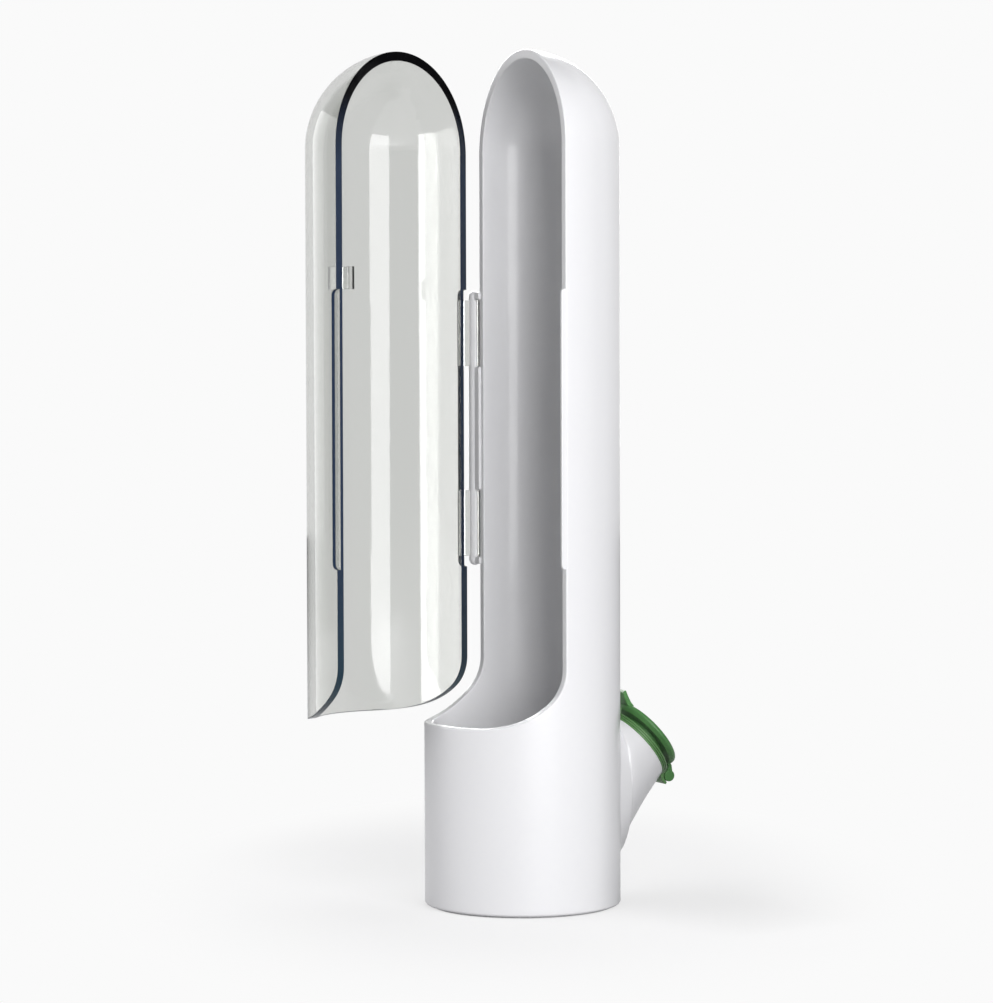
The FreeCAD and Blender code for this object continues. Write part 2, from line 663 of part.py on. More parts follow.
def make_cap_collar(doc):
    """Soft collar: a band on the mouth's face, a sleeve in its bore, a tail and a tab."""
    body = add_body(doc, "cap_collar")
    sketch = add_sketch(body, "CollarOutline", "XZ_Plane")
    outline = Outline(sketch, COLLAR_BORE, "-sleeve_depth")
    outline.line(SLEEVE_RADIUS, "-sleeve_depth")
    outline.line(SLEEVE_RADIUS, "0")
    outline.line(COLLAR_RADIUS, "0")
    outline.line(COLLAR_RADIUS, "collar_height")
    outline.line(COLLAR_BORE, "collar_height")
    revolve(body, "Revolution", "Collar", outline.close())
    add_collar_tail(body)
    add_collar_tab(body)
    seat_on_mouth(body)
    return body


def add_collar_tail(body):
    """The collar's tail, which cradles the bead of the living hinge from below."""
    reach = "(bead_radius + bead_gap)"
    inner = f"({COLLAR_RADIUS} - 1)"
    side = f"{BEAD_OUT} - sqrt({reach}^2 - (bead_up - collar_height)^2)"
    sketch = add_sketch(body, "TailOutline", "YZ_Plane")
    outline = Outline(sketch, inner, "0")
    outline.line(f"{COLLAR_RADIUS} + 0.2", "0")
    outline.line(BEAD_OUT, f"bead_up - {reach} - 0.9")
    outline.line(BEAD_OUT, f"bead_up - {reach}")
    outline.arc(side, "collar_height", reach, left=False)
    outline.line(inner, "collar_height")
    pad_both_ways(body, "Tail", outline.close(), "bead_width")


def add_collar_tab(body):
    """The collar's short tab, which turns up beside the wall."""
    rim = COLLAR_RADIUS
    sketch = add_sketch(body, "ShortTabOutline", "YZ_Plane")
    outline = Outline(sketch, f"-({rim} - 1.5)", "0.4")
    outline.line(f"-({rim} - 1.5)", "collar_height")
    outline.line(f"-({rim} - 0.4)", "collar_height")
    outline.line(f"-({rim} + short_reach - 0.8)", "collar_height + 1.3")
    outline.line(f"-({rim} + short_reach)", "collar_height + 0.9")
    outline.line(f"-({rim} + 0.2)", "0.4")
    pad_both_ways(body, "ShortTab", outline.close(), "pull_width")


def round_tab(body, name, reach, radius):
    """Round the two corners at the far end of a tab."""
    end = measure(body, reach)
    half = measure(body, "pull_width / 2")

    def at_corner(at):
        return abs(abs(at.x) - half) < TOUCH and abs(at.y + end) < TOUCH

    dress_edges(body, "Fillet", name, radius, at_corner)


def make_cap_lid(doc):
    """Soft lid: crowned disc, hollow plug, pull tab and the bead of the living hinge."""
    body = add_body(doc, "cap_lid")
    plug = f"({COLLAR_BORE} - plug_fit)"
    hollow = f"({plug} - plug_wall - plug_taper)"
    ceiling = f"({LID_FACE} + 0.6)"
    crown_radius = "((mouth_radius - lid_round)^2 / (2 * lid_crown) + lid_crown / 2)"
    sketch = add_sketch(body, "LidOutline", "XZ_Plane")
    outline = Outline(sketch, "0", ceiling)
    outline.line(hollow, ceiling)
    outline.line(hollow, "-plug_depth")
    outline.line(f"{plug} - plug_taper", "-plug_depth")
    outline.line(plug, "collar_height")
    outline.line(plug, LID_FACE)
    outline.line("mouth_radius - lid_round / 2", LID_FACE)
    outline.line("mouth_radius", f"{LID_FACE} + lid_round / 2")
    outline.line("mouth_radius", f"{LID_TOP} - lid_round")
    outline.arc("mouth_radius - lid_round", LID_TOP, "lid_round")
    outline.arc("0", f"{LID_TOP} + lid_crown", crown_radius)
    revolve(body, "Revolution", "Lid", outline.close())
    add_bead(body)
    add_neck(body)
    add_pull_tab(body)
    seat_on_mouth(body)
    return body


def add_bead(body):
    """The bead that the lid turns about, at the end of its tail."""
    sketch = add_sketch(body, "BeadOutline", "YZ_Plane")
    outline = Outline(sketch, BEAD_OUT, "bead_up - bead_radius")
    outline.arc(f"{BEAD_OUT} + bead_radius", "bead_up", "bead_radius")
    outline.arc(BEAD_OUT, "bead_up + bead_radius", "bead_radius")
    outline.arc(f"{BEAD_OUT} - bead_radius", "bead_up", "bead_radius")
    outline.arc(BEAD_OUT, "bead_up - bead_radius", "bead_radius")
    pad_both_ways(body, "Bead", outline.close(), "bead_width")


def add_neck(body):
    """The tail that joins the lid's rim to the bead."""
    sketch = add_sketch(body, "NeckOutline", "YZ_Plane")
    outline = Outline(sketch, "mouth_radius - 1", f"{LID_FACE} + 0.2")
    outline.line("mouth_radius + 0.1", f"{LID_FACE} + 0.2")
    outline.line(f"{BEAD_OUT} - bead_radius * 0.85", "bead_up + 0.3")
    outline.line(BEAD_OUT, "bead_up + 0.3")
    outline.line(f"{BEAD_OUT} + 0.3", "bead_up + bead_radius * 0.9")
    outline.line("mouth_radius + 0.5", f"{LID_TOP} - 1.2")
    outline.line("mouth_radius - 1", f"{LID_TOP} - 1")
    pad_both_ways(body, "Neck", outline.close(), "bead_width - 1")


def add_pull_tab(body):
    """The long tab by which the lid is pulled open, bent up beside the wall."""
    low = f"({LID_FACE} + pull_up)"
    sketch = add_sketch(body, "PullOutline", "YZ_Plane")
    outline = Outline(sketch, "-(mouth_radius - 2)", low)
    outline.line("-(mouth_radius - 2)", f"{low} + pull_thickness")
    outline.line("-mouth_radius", f"{low} + pull_thickness")
    outline.line("-(mouth_radius + pull_reach)", f"{low} + pull_thickness + pull_lift")
    outline.line("-(mouth_radius + pull_reach)", f"{low} + pull_lift")
    outline.line("-mouth_radius", low)
    pad_both_ways(body, "PullTab", outline.close(), "pull_width")
    round_tab(body, "PullCorners", "mouth_radius + pull_reach", "pull_point")


# ---------------------------------------------------------------- build, check, write

def check(doc, bodies):
    """Stop on any failed object and any sub-part that isn't one valid solid."""
    for item in doc.Objects:
        if {"Invalid", "Error"} & set(item.State):
            raise RuntimeError(f"{item.Label} failed: {item.State} {item.getStatusString()}")
    for body in bodies:
        shape = body.Shape
        if shape.isNull() or not shape.isValid() or len(shape.Solids) != 1:
            raise RuntimeError(f"{body.Label} is not one valid solid")


def main():
    doc = FreeCAD.newDocument("HerbKeeper")
    make_sheet(doc)
    door = make_door_shell(doc)
    bodies = [
        make_body_shell(doc),
        make_base_plate(doc),
        door,
        make_cap_collar(doc),
        make_cap_lid(doc),
    ]
    open_door(door)
    doc.recompute()
    check(doc, bodies)
    os.makedirs("parts", exist_ok=True)
    for body in bodies:
        body.Shape.exportStep(f"parts/{body.Label}.step")
        box = body.Shape.BoundBox
        print(f"{body.Label}: {body.Shape.Volume:.0f} mm3, {box}")


main()
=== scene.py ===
"""Herb keeper: white capsule with a clear door standing open, and a fill spout with a soft cap."""

import logging
from dataclasses import dataclass
from enum import Enum
from math import asin, atan2, cos, degrees, hypot, pi, radians, sin, sqrt

import bmesh
import bpy
from mathutils import Matrix, Vector


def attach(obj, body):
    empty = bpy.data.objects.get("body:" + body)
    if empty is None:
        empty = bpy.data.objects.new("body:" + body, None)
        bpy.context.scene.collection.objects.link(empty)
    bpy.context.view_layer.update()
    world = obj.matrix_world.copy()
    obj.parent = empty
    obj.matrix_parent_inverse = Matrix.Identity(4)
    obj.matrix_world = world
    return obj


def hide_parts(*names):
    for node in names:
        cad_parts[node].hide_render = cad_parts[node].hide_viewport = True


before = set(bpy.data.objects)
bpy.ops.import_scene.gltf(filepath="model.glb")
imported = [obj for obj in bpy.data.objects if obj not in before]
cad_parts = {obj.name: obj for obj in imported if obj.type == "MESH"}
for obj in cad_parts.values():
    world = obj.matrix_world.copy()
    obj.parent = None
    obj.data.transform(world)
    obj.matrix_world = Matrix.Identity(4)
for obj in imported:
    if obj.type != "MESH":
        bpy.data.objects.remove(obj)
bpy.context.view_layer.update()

TO_METRES = Matrix.Scale(0.001, 4)
MERGE = 1e-4                # points nearer than this are one point, in millimetres
SEAM = 0.001                # rings nearer than this are sewn together
WELD = 0.004                # points nearer than this are welded in a finished piece
SLIVER = 0.002              # edges shorter than this are taken out of a finished piece
HOLE_SIDES = 8              # a pinhole with up to this many sides is closed
TURN_STEPS = 192            # steps of a full turn of the large parts and of the cap
SPOUT_STEPS = 96            # steps round the spout
ROD_STEPS = 48              # steps round the hinge rod
CORNER_STEPS = 10           # steps of a quarter round on the rod's ends
SHARP_EDGE = radians(38)    # edges bent more than this stay sharp
ORDER = Vector((0.731, 1.3197, 0.9271))     # the slanted line along which points are put in order
VIEW_AZIMUTH = 63.886       # where the camera stands, in degrees round the keeper from -Y
AIM = Vector((0, 0, 0.14))  # the middle of the keeper, in metres

Colour = tuple[float, float, float]
Point = tuple[float, float]
Socket = bpy.types.NodeSocket

log = logging.getLogger("herb_keeper")


# ---------------------------------------------------------------- named options

class Plane(Enum):
    """The plane that an outline is drawn on, as the turn that brings it there."""

    TOP = Matrix.Identity(4)
    SIDE = Matrix(((0, 0, 1, 0), (1, 0, 0, 0), (0, 1, 0, 0), (0, 0, 0, 1)))
    FRONT = Matrix(((1, 0, 0, 0), (0, 0, -1, 0), (0, 1, 0, 0), (0, 0, 0, 1)))


class Join(Enum):
    """How one solid is combined with another."""

    ADD = "UNION"
    CUT = "DIFFERENCE"


class Body(Enum):
    """The moving bodies of the keeper."""

    KEEPER = "keeper"
    DOOR = "door"
    LID = "lid"


class Slot(Enum):
    """The record's material slots."""

    SHELL = "white_plastic"
    BASE = "base_plastic"
    DOOR = "clear_plastic"
    CAP = "green_silicone"


class Lights(Enum):
    """What a lamp lights."""

    FLOOR = "the floor alone"
    DOOR = "the clear door alone"
    REST = "everything but the door"
    KEEPER = "everything but the door and the floor"


# ---------------------------------------------------------------- drawing and shaping

def from_axis(vert: bmesh.types.BMVert) -> float:
    """How far a point is from the upright axis."""
    return hypot(vert.co.x, vert.co.y)


def direction(azimuth: float, elevation: float) -> Vector:
    """The way out to an azimuth from -Y and an elevation, both in degrees."""
    around, over = radians(azimuth), radians(elevation)
    return Vector((sin(around) * cos(over), -cos(around) * cos(over), sin(over)))


def points_of(made: dict[str, list]) -> list[bmesh.types.BMVert]:
    """The points among what an operator made."""
    return [item for item in made["geom"] if isinstance(item, bmesh.types.BMVert)]


def next_ring(
    mesh: bmesh.types.BMesh, edges: list[bmesh.types.BMEdge],
) -> tuple[list[bmesh.types.BMVert], list[bmesh.types.BMEdge]]:
    """Extrude a ring of edges where it stands.

    Args:
        mesh: the mesh that the ring is part of.
        edges: the ring.

    Returns:
        The new ring's points and its edges.
    """
    made = bmesh.ops.extrude_edge_only(mesh, edges=edges)
    verts = points_of(made)
    fresh = set(verts)
    strokes = [item for item in made["geom"] if isinstance(item, bmesh.types.BMEdge)]
    return verts, [edge for edge in strokes if set(edge.verts) <= fresh]


def object_of(mesh: bmesh.types.BMesh, name: str) -> bpy.types.Object:
    """Make a mesh an object of the scene.

    Args:
        mesh: the mesh, which is let go.
        name: the object's name.

    Returns:
        The new object.
    """
    data = bpy.data.meshes.new(name)
    mesh.to_mesh(data)
    mesh.free()
    item = bpy.data.objects.new(name, data)
    bpy.context.scene.collection.objects.link(item)
    return item


class Draft:
    """A closed solid being shaped, in millimetres."""

    def __init__(self, mesh: bmesh.types.BMesh) -> None:
        """Take over a mesh, merge its doubled points and turn every face outward.

        Args:
            mesh: the mesh.
        """
        self.mesh = mesh
        bmesh.ops.remove_doubles(mesh, verts=mesh.verts[:], dist=MERGE)
        bmesh.ops.dissolve_degenerate(mesh, dist=MERGE, edges=mesh.edges[:])
        bmesh.ops.recalc_face_normals(mesh, faces=mesh.faces[:])

    def moved(self, place: Matrix) -> "Draft":
        """Move or turn the whole solid."""
        bmesh.ops.transform(self.mesh, matrix=place, verts=self.mesh.verts[:])
        return self

    def eased(self, size: float, segments: int = 2, least: float = 30.0) -> "Draft":
        """Round every edge that is bent.

        Args:
            size: how wide the rounding is.
            segments: how many faces it has across.
            least: the bend in degrees from which an edge is rounded.

        Returns:
            This solid.
        """
        bent = [
            edge for edge in self.mesh.edges
            if len(edge.link_faces) == 2 and degrees(edge.calc_face_angle(0)) > least
        ]
        bmesh.ops.bevel(
            self.mesh, geom=bent, affect="EDGES", offset=size, offset_type="OFFSET",
            segments=segments, profile=0.5, material=-1, clamp_overlap=True,
        )
        return self

    def solid(self, name: str, material: bpy.types.Material) -> bpy.types.Object:
        """Make the solid an object, still in millimetres.

        Args:
            name: the object's name.
            material: its finish.

        Returns:
            The new object.
        """
        item = object_of(self.mesh, name)
        item.data.materials.append(material)
        return item


class Outline:
    """An outline drawn stroke by stroke on a flat sheet, in millimetres."""

    def __init__(self, start: Point, *points: Point) -> None:
        """Start at a point and draw straight lines through the next ones.

        Args:
            start: the first point's two coordinates.
            points: the next points.
        """
        self.mesh = bmesh.new()
        self.first = self.mesh.verts.new((*start, 0))
        self.tip = self.first
        self.to(*points)

    def to(self, *points: Point) -> "Outline":
        """Draw straight lines through points.

        Args:
            points: each point's two coordinates.

        Returns:
            This outline, for the next stroke.
        """
        for across, up in points:
            self.tip = bmesh.ops.extrude_vert_indiv(self.mesh, verts=[self.tip])["verts"][0]
            self.tip.co = (across, up, 0)
        return self

    def arc(self, centre: Point, turn: float, steps: int) -> "Outline":
        """Draw an arc about a centre.

        Args:
            centre: the centre's two coordinates.
            turn: the arc's angle in degrees, to the left if positive.
            steps: how many pieces the arc has.

        Returns:
            This outline, for the next stroke.
        """
        made = bmesh.ops.spin(
            self.mesh, geom=[self.tip], cent=(*centre, 0), axis=(0, 0, 1),
            angle=radians(turn), steps=steps,
        )
        self.tip = next(item for item in made["geom_last"] if isinstance(item, bmesh.types.BMVert))
        return self

    def close(self) -> "Outline":
        """Join the last point to the first.

        Returns:
            This outline.
        """
        if (self.tip.co - self.first.co).length > MERGE:
            bmesh.ops.contextual_create(self.mesh, geom=[self.tip, self.first])
        bmesh.ops.remove_doubles(self.mesh, verts=self.mesh.verts[:], dist=MERGE)
        return self

    def turned(self, steps: int) -> Draft:
        """Turn the outline once round the upright axis.

        Args:
            steps: how many steps the turn has.

        Returns:
            The closed round solid.
        """
        bmesh.ops.transform(self.mesh, matrix=Plane.FRONT.value, verts=self.mesh.verts[:])
        bmesh.ops.spin(
            self.mesh, geom=self.mesh.verts[:] + self.mesh.edges[:], cent=(0, 0, 0),
            axis=(0, 0, 1), angle=2 * pi, steps=steps, use_merge=True,
        )
        return Draft(self.mesh)

    def prism(self, plane: Plane, start: float, depth: float) -> Draft:
        """Give the closed outline a depth.

        Args:
            plane: the plane that the outline is drawn on.
            start: where the solid starts along the plane's normal.
            depth: how deep the solid is.

        Returns:
            The closed straight solid.
        """
        self.close()
        bmesh.ops.contextual_create(self.mesh, geom=self.mesh.edges[:])
        made = bmesh.ops.extrude_face_region(self.mesh, geom=self.mesh.faces[:])
        bmesh.ops.translate(self.mesh, vec=(0, 0, depth), verts=points_of(made))
        place = plane.value @ Matrix.Translation((0, 0, start))
        bmesh.ops.transform(self.mesh, matrix=place, verts=self.mesh.verts[:])
        return Draft(self.mesh)

    def slab(self, width: float) -> Draft:
        """Give the closed side view a width, half of it on each side of the middle."""
        return self.prism(Plane.SIDE, -width / 2, width)


def block(plane: Plane, across: Point, up: Point, start: float, depth: float) -> Draft:
    """Make a straight block.

    Args:
        plane: the plane that its outline is drawn on.
        across: the outline's first and last place across.
        up: the outline's first and last place up.
        start: where the block starts along the plane's normal.
        depth: how deep it is.

    Returns:
        The closed solid.
    """
    (left, right), (low, high) = across, up
    return Outline((left, low), (right, low), (right, high), (left, high)).prism(plane, start, depth)


@dataclass(frozen=True)
class Strip:
    """An upright strip along the rim, with two rounded corners, as seen from the side."""

    foot: float
    face: float
    low: float
    high: float
    corner: float
    steps: int

    def draft(self, start: float, depth: float) -> Draft:
        """Give the strip its depth.

        Args:
            start: where it starts across the keeper.
            depth: how deep it is.

        Returns:
            The closed solid.
        """
        inner, low, high = self.face + self.corner, self.low + self.corner, self.high - self.corner
        outline = Outline((self.foot, self.low), (self.foot, self.high), (inner, self.high))
        outline.arc((inner, high), 90, self.steps).to((self.face, low)).arc((inner, low), 90, self.steps)
        return outline.prism(Plane.SIDE, start, depth)


def combine(target: bpy.types.Object, tool: bpy.types.Object, how: Join) -> None:
    """Add a solid to another, or cut it away, and drop the tool.

    Args:
        target: the solid that is changed.
        tool: the solid that changes it; its faces keep their own finish.
        how: whether it is added or cut away.
    """
    modifier = target.modifiers.new("Combine", "BOOLEAN")
    modifier.object = tool
    modifier.operation = how.value
    modifier.solver = "EXACT"
    modifier.material_mode = "TRANSFER"
    bpy.context.view_layer.update()
    graph = bpy.context.evaluated_depsgraph_get()
    made = bpy.data.meshes.new_from_object(target.evaluated_get(graph))
    target.modifiers.clear()
    old = target.data
    target.data = made
    bpy.data.meshes.remove(old)
    bpy.data.objects.remove(tool)


def put_in_order(mesh: bmesh.types.BMesh) -> None:
    """Order all points, edges and faces by where they are, so that what follows never varies.

    Args:
        mesh: the mesh that is put in order.
    """
    mesh.verts.sort(key=lambda vert: ORDER.dot(vert.co))
    mesh.edges.sort(key=lambda edge: ORDER.dot(edge.verts[0].co + edge.verts[1].co))
    mesh.faces.sort(key=lambda face: ORDER.dot(face.calc_center_median()))


def finish_piece(item: bpy.types.Object, place: Matrix, body: Body, node: str) -> None:
    """Clean and shade a piece, bring it to its place in metres and hang it on its body.

    Args:
        item: the piece, in millimetres about its own axis.
        place: where it goes, in millimetres.
        body: the body that it moves with.
        node: the CAD node that it stands for.
    """
    mesh = bmesh.new()
    mesh.from_mesh(item.data)
    put_in_order(mesh)
    bmesh.ops.remove_doubles(mesh, verts=mesh.verts[:], dist=WELD)
    bmesh.ops.dissolve_degenerate(mesh, dist=SLIVER, edges=mesh.edges[:])
    bmesh.ops.delete(mesh, geom=[edge for edge in mesh.edges if edge.is_wire], context="EDGES")
    bmesh.ops.delete(mesh, geom=[vert for vert in mesh.verts if not vert.link_faces], context="VERTS")
    open_edges = [edge for edge in mesh.edges if edge.is_boundary]
    bmesh.ops.holes_fill(mesh, edges=open_edges, sides=HOLE_SIDES)
    bmesh.ops.transform(mesh, matrix=TO_METRES @ place, verts=mesh.verts[:])
    mesh.to_mesh(item.data)
    mesh.free()
    item.data.shade_smooth()
    item.data.set_sharp_from_angle(angle=SHARP_EDGE)
    normals = item.modifiers.new("Normals", "WEIGHTED_NORMAL")
    normals.mode = "FACE_AREA"
    normals.keep_sharp = True
    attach(item, body.value)
    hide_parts(node)


# ---------------------------------------------------------------- node trees

class Nodes:
    """A node tree, with short ways to add and join its nodes."""

    def __init__(self, tree: bpy.types.NodeTree) -> None:
        """Take a tree."""
        self.tree = tree

    def add(self, kind: str, **settings: object) -> bpy.types.Node:
        """Add a node.

        Args:
            kind: the node's type.
            settings: values of its properties or, failing that, of its inputs.

        Returns:
            The new node.
        """
        node = self.tree.nodes.new(kind)
        for name, value in settings.items():
            if hasattr(node, name):
                setattr(node, name, value)
            else:
                node.inputs[name.replace("_", " ")].default_value = value
        return node

    def join(self, source: Socket, target: Socket) -> None:
        """Link two sockets."""
        self.tree.links.new(source, target)

    def feed(self, value: Socket | float, target: Socket) -> None:
        """Give an input its value.

        Args:
            value: the value, worked out by another node or fixed.
            target: the input.
        """
        if isinstance(value, float):
            target.default_value = value
        else:
            self.join(value, target)

    def math(self, operation: str, first: Socket, second: Socket | float) -> Socket:
        """Work out a value from two.

        Args:
            operation: what is done with them.
            first: the first value.
            second: the second value.

        Returns:
            The result.
        """
        node = self.add("ShaderNodeMath", operation=operation)
        self.join(first, node.inputs[0])
        self.feed(second, node.inputs[1])
        return node.outputs[0]

    def mix(self, share: Socket, first: Socket, second: Socket | None = None) -> Socket:
        """Mix two shaders.

        Args:
            share: how much of the second there is.
            first: the shader at 0.
            second: the shader at 1, or nothing, which is black.

        Returns:
            The mixed shader.
        """
        node = self.add("ShaderNodeMixShader")
        self.join(share, node.inputs["Fac"])
        self.join(first, node.inputs[1])
        if second:
            self.join(second, node.inputs[2])
        return node.outputs[0]

    def rays(self, first: str, *more: str) -> Socket:
        """Ask what kind of ray arrives.

        Args:
            first: a Light Path output.
            more: further outputs, of which the largest counts.

        Returns:
            The answer.
        """
        path = self.add("ShaderNodeLightPath")
        total = path.outputs[first]
        for name in more:
            total = self.math("MAXIMUM", total, path.outputs[name])
        return total


@dataclass(frozen=True)
class Grain:
    """A noise pattern: how fine it is per metre, its finer layers and its stretch on each axis."""

    scale: float
    detail: float
    stretch: tuple[float, float, float] = (1, 1, 1)


class Finish(Nodes):
    """The node tree of one material, round its Principled shader."""

    def __init__(self, name: str) -> None:
        """Start a material.

        Args:
            name: the material's name.
        """
        self.material = bpy.data.materials.new(name)
        self.material.use_nodes = True
        super().__init__(self.material.node_tree)
        self.shader = self.tree.nodes["Principled BSDF"]
        self.surface = self.tree.nodes["Material Output"].inputs["Surface"]

    def place(self, stretch: tuple[float, float, float] = (1, 1, 1)) -> Socket:
        """Read the Object coordinates.

        Args:
            stretch: their scale along each axis.

        Returns:
            The stretched coordinates.
        """
        mapping = self.add("ShaderNodeMapping", Scale=stretch)
        self.join(self.add("ShaderNodeTexCoord").outputs["Object"], mapping.inputs["Vector"])
        return mapping.outputs["Vector"]

    def noise(self, grain: Grain) -> Socket:
        """Lay a grain over the Object coordinates.

        Args:
            grain: the grain.

        Returns:
            Its value.
        """
        node = self.add("ShaderNodeTexNoise", Scale=grain.scale, Detail=grain.detail)
        self.join(self.place(grain.stretch), node.inputs["Vector"])
        return node.outputs["Fac"]

    def spread(self, source: Socket, ends: Point, counted: Point = (0.3, 0.7)) -> Socket:
        """Map a value from one range to another.

        Args:
            source: the value.
            ends: what the lowest and the highest counted values become.
            counted: the lowest and the highest value that count.

        Returns:
            The mapped value.
        """
        node = self.add("ShaderNodeMapRange", To_Min=ends[0], To_Max=ends[1])
        node.inputs["From Min"].default_value, node.inputs["From Max"].default_value = counted
        self.join(source, node.inputs["Value"])
        return node.outputs["Result"]

    def tint(self, source: Socket, stops: list[tuple[float, Colour]]) -> None:
        """Colour the shader along a value.

        Args:
            source: the value.
            stops: each place from 0 to 1 and its colour.
        """
        node = self.add("ShaderNodeValToRGB")
        elements = node.color_ramp.elements
        while len(elements) < len(stops):
            elements.new(0.5)
        for element, (position, colour) in zip(elements, stops):
            element.position = position
            element.color = (*colour, 1)
        self.join(source, node.inputs["Fac"])
        self.join(node.outputs["Color"], self.shader.inputs["Base Color"])

    def gloss(self, grain: Grain, ends: Point) -> None:
        """Let the shader's roughness waver between two ends."""
        self.join(self.spread(self.noise(grain), ends), self.shader.inputs["Roughness"])

    def bump(self, grain: Grain, strength: float, distance: float) -> None:
        """Let a grain move the shader's normal.

        Args:
            grain: the pattern of heights.
            strength: how strongly it shows.
            distance: its depth in metres.
        """
        node = self.add("ShaderNodeBump", Strength=strength, Distance=distance)
        self.join(self.noise(grain), node.inputs["Height"])
        self.join(node.outputs["Normal"], self.shader.inputs["Normal"])

    def set(self, **values: object) -> None:
        """Set the shader's own sockets, with underscores for spaces."""
        for name, value in values.items():
            self.shader.inputs[name.replace("_", " ")].default_value = value

    def glow(self, strength: Socket | float) -> Socket:
        """Shine white.

        Args:
            strength: how strongly.

        Returns:
            The shining shader.
        """
        node = self.add("ShaderNodeEmission", Color=(1, 1, 1, 1))
        self.feed(strength, node.inputs["Strength"])
        return node.outputs[0]


# ---------------------------------------------------------------- finishes

@dataclass(frozen=True)
class Moulded:
    """A moulded material: two tints in a cloud, an uneven gloss and a shallow relief."""

    name: str
    pale: Colour
    deep: Colour
    cloud: Grain
    cloud_ends: Point
    sheen: Grain
    gloss: Point
    relief: Grain
    relief_strength: float
    relief_depth: float
    sockets: tuple[tuple[str, float], ...]

    def material(self) -> bpy.types.Material:
        """Build the material.

        Returns:
            The material.
        """
        nodes = Finish(self.name)
        first, last = self.cloud_ends
        nodes.tint(nodes.noise(self.cloud), [(first, self.deep), (last, self.pale)])
        nodes.gloss(self.sheen, self.gloss)
        nodes.bump(self.relief, self.relief_strength, self.relief_depth)
        nodes.set(**dict(self.sockets))
        return nodes.material


@dataclass(frozen=True)
class WhitePlastic(Moulded):
    """Glossy white moulded plastic with a very fine grain and a trace of ripple."""

    name: str = "moulded_white"
    pale: Colour = (0.80, 0.80, 0.815)
    deep: Colour = (0.79, 0.79, 0.808)
    cloud: Grain = Grain(400.0, 2.0)
    cloud_ends: Point = (0.2, 0.8)
    sheen: Grain = Grain(90.0, 1.0)
    gloss: Point = (0.3, 0.36)
    relief: Grain = Grain(420.0, 2.0, (1, 1, 0.35))
    relief_strength: float = 0.04
    relief_depth: float = 0.00008
    sockets: tuple[tuple[str, float], ...] = (
        ("IOR", 1.5), ("Coat_Weight", 0.25), ("Coat_Roughness", 0.08),
    )


@dataclass(frozen=True)
class ClearPlastic(Moulded):
    """Clear moulded plastic, slightly smoky, with faint upright flow lines."""

    name: str = "clear_wall"
    pale: Colour = (0.66, 0.665, 0.65)
    deep: Colour = (0.63, 0.64, 0.62)
    cloud: Grain = Grain(60.0, 3.0, (1, 1, 0.06))
    cloud_ends: Point = (0.25, 0.75)
    sheen: Grain = Grain(140.0, 1.0)
    gloss: Point = (0.06, 0.09)
    relief: Grain = Grain(75.0, 1.0, (1, 1, 0.02))
    relief_strength: float = 0.05
    relief_depth: float = 0.0001
    sockets: tuple[tuple[str, float], ...] = (("Transmission_Weight", 1.0), ("IOR", 1.47))


@dataclass(frozen=True)
class GreenSilicone(Moulded):
    """Soft matt silicone."""

    cloud: Grain = Grain(160.0, 4.0)
    cloud_ends: Point = (0.25, 0.75)
    sheen: Grain = Grain(500.0, 3.0)
    gloss: Point = (0.38, 0.52)
    relief: Grain = Grain(2600.0, 2.0)
    relief_strength: float = 0.15
    relief_depth: float = 0.00003
    sockets: tuple[tuple[str, float], ...] = (
        ("IOR", 1.41), ("Sheen_Weight", 0.15), ("Sheen_Roughness", 0.4),
    )


@dataclass(frozen=True)
class PaintedReflectionRim:
    """The clear plastic's cut edge as a painted reflection: colour standing for the dark surroundings that
    the edge mirrors, black above, navy below.
    """

    name: str = "rim_painted_reflection"
    # painted reflection colours, from low to high on the edge
    low: Colour = (0.02, 0.045, 0.06)
    middle: Colour = (0.02, 0.032, 0.062)
    high: Colour = (0.001, 0.001, 0.0015)
    heights: Point = (0.06, 0.278)
    shares: tuple[float, ...] = (0.0, 0.25, 0.83, 0.93)
    sheen: Grain = Grain(300.0, 2.0)
    gloss: Point = (0.08, 0.2)

    def material(self) -> bpy.types.Material:
        """Build the material.

        Returns:
            The material.
        """
        nodes = Finish(self.name)
        axes = nodes.add("ShaderNodeSeparateXYZ")
        nodes.join(nodes.place(), axes.inputs["Vector"])
        # painted reflection graded by height: navy low, black high
        height = nodes.spread(axes.outputs["Z"], (0.0, 1.0), self.heights)
        nodes.tint(height, list(zip(self.shares, (self.low, self.middle, self.middle, self.high))))
        nodes.gloss(self.sheen, self.gloss)
        nodes.set(IOR=1.47, Specular_IOR_Level=0.2)
        return nodes.material


# ---------------------------------------------------------------- the half capsules

@dataclass(frozen=True)
class WallPoint:
    """A point of the opening's curve as seen from the side, and which way the shell lies."""

    out: float
    up: float
    shell_out: float
    shell_up: float
    share: float


@dataclass(frozen=True)
class Steps:
    """How many steps each stretch of a half capsule has."""

    arch: int = 40
    side: int = 80
    tight: int = 14
    sweep: int = 20
    front: int = 24
    rows: int = 44
    edge: int = 5


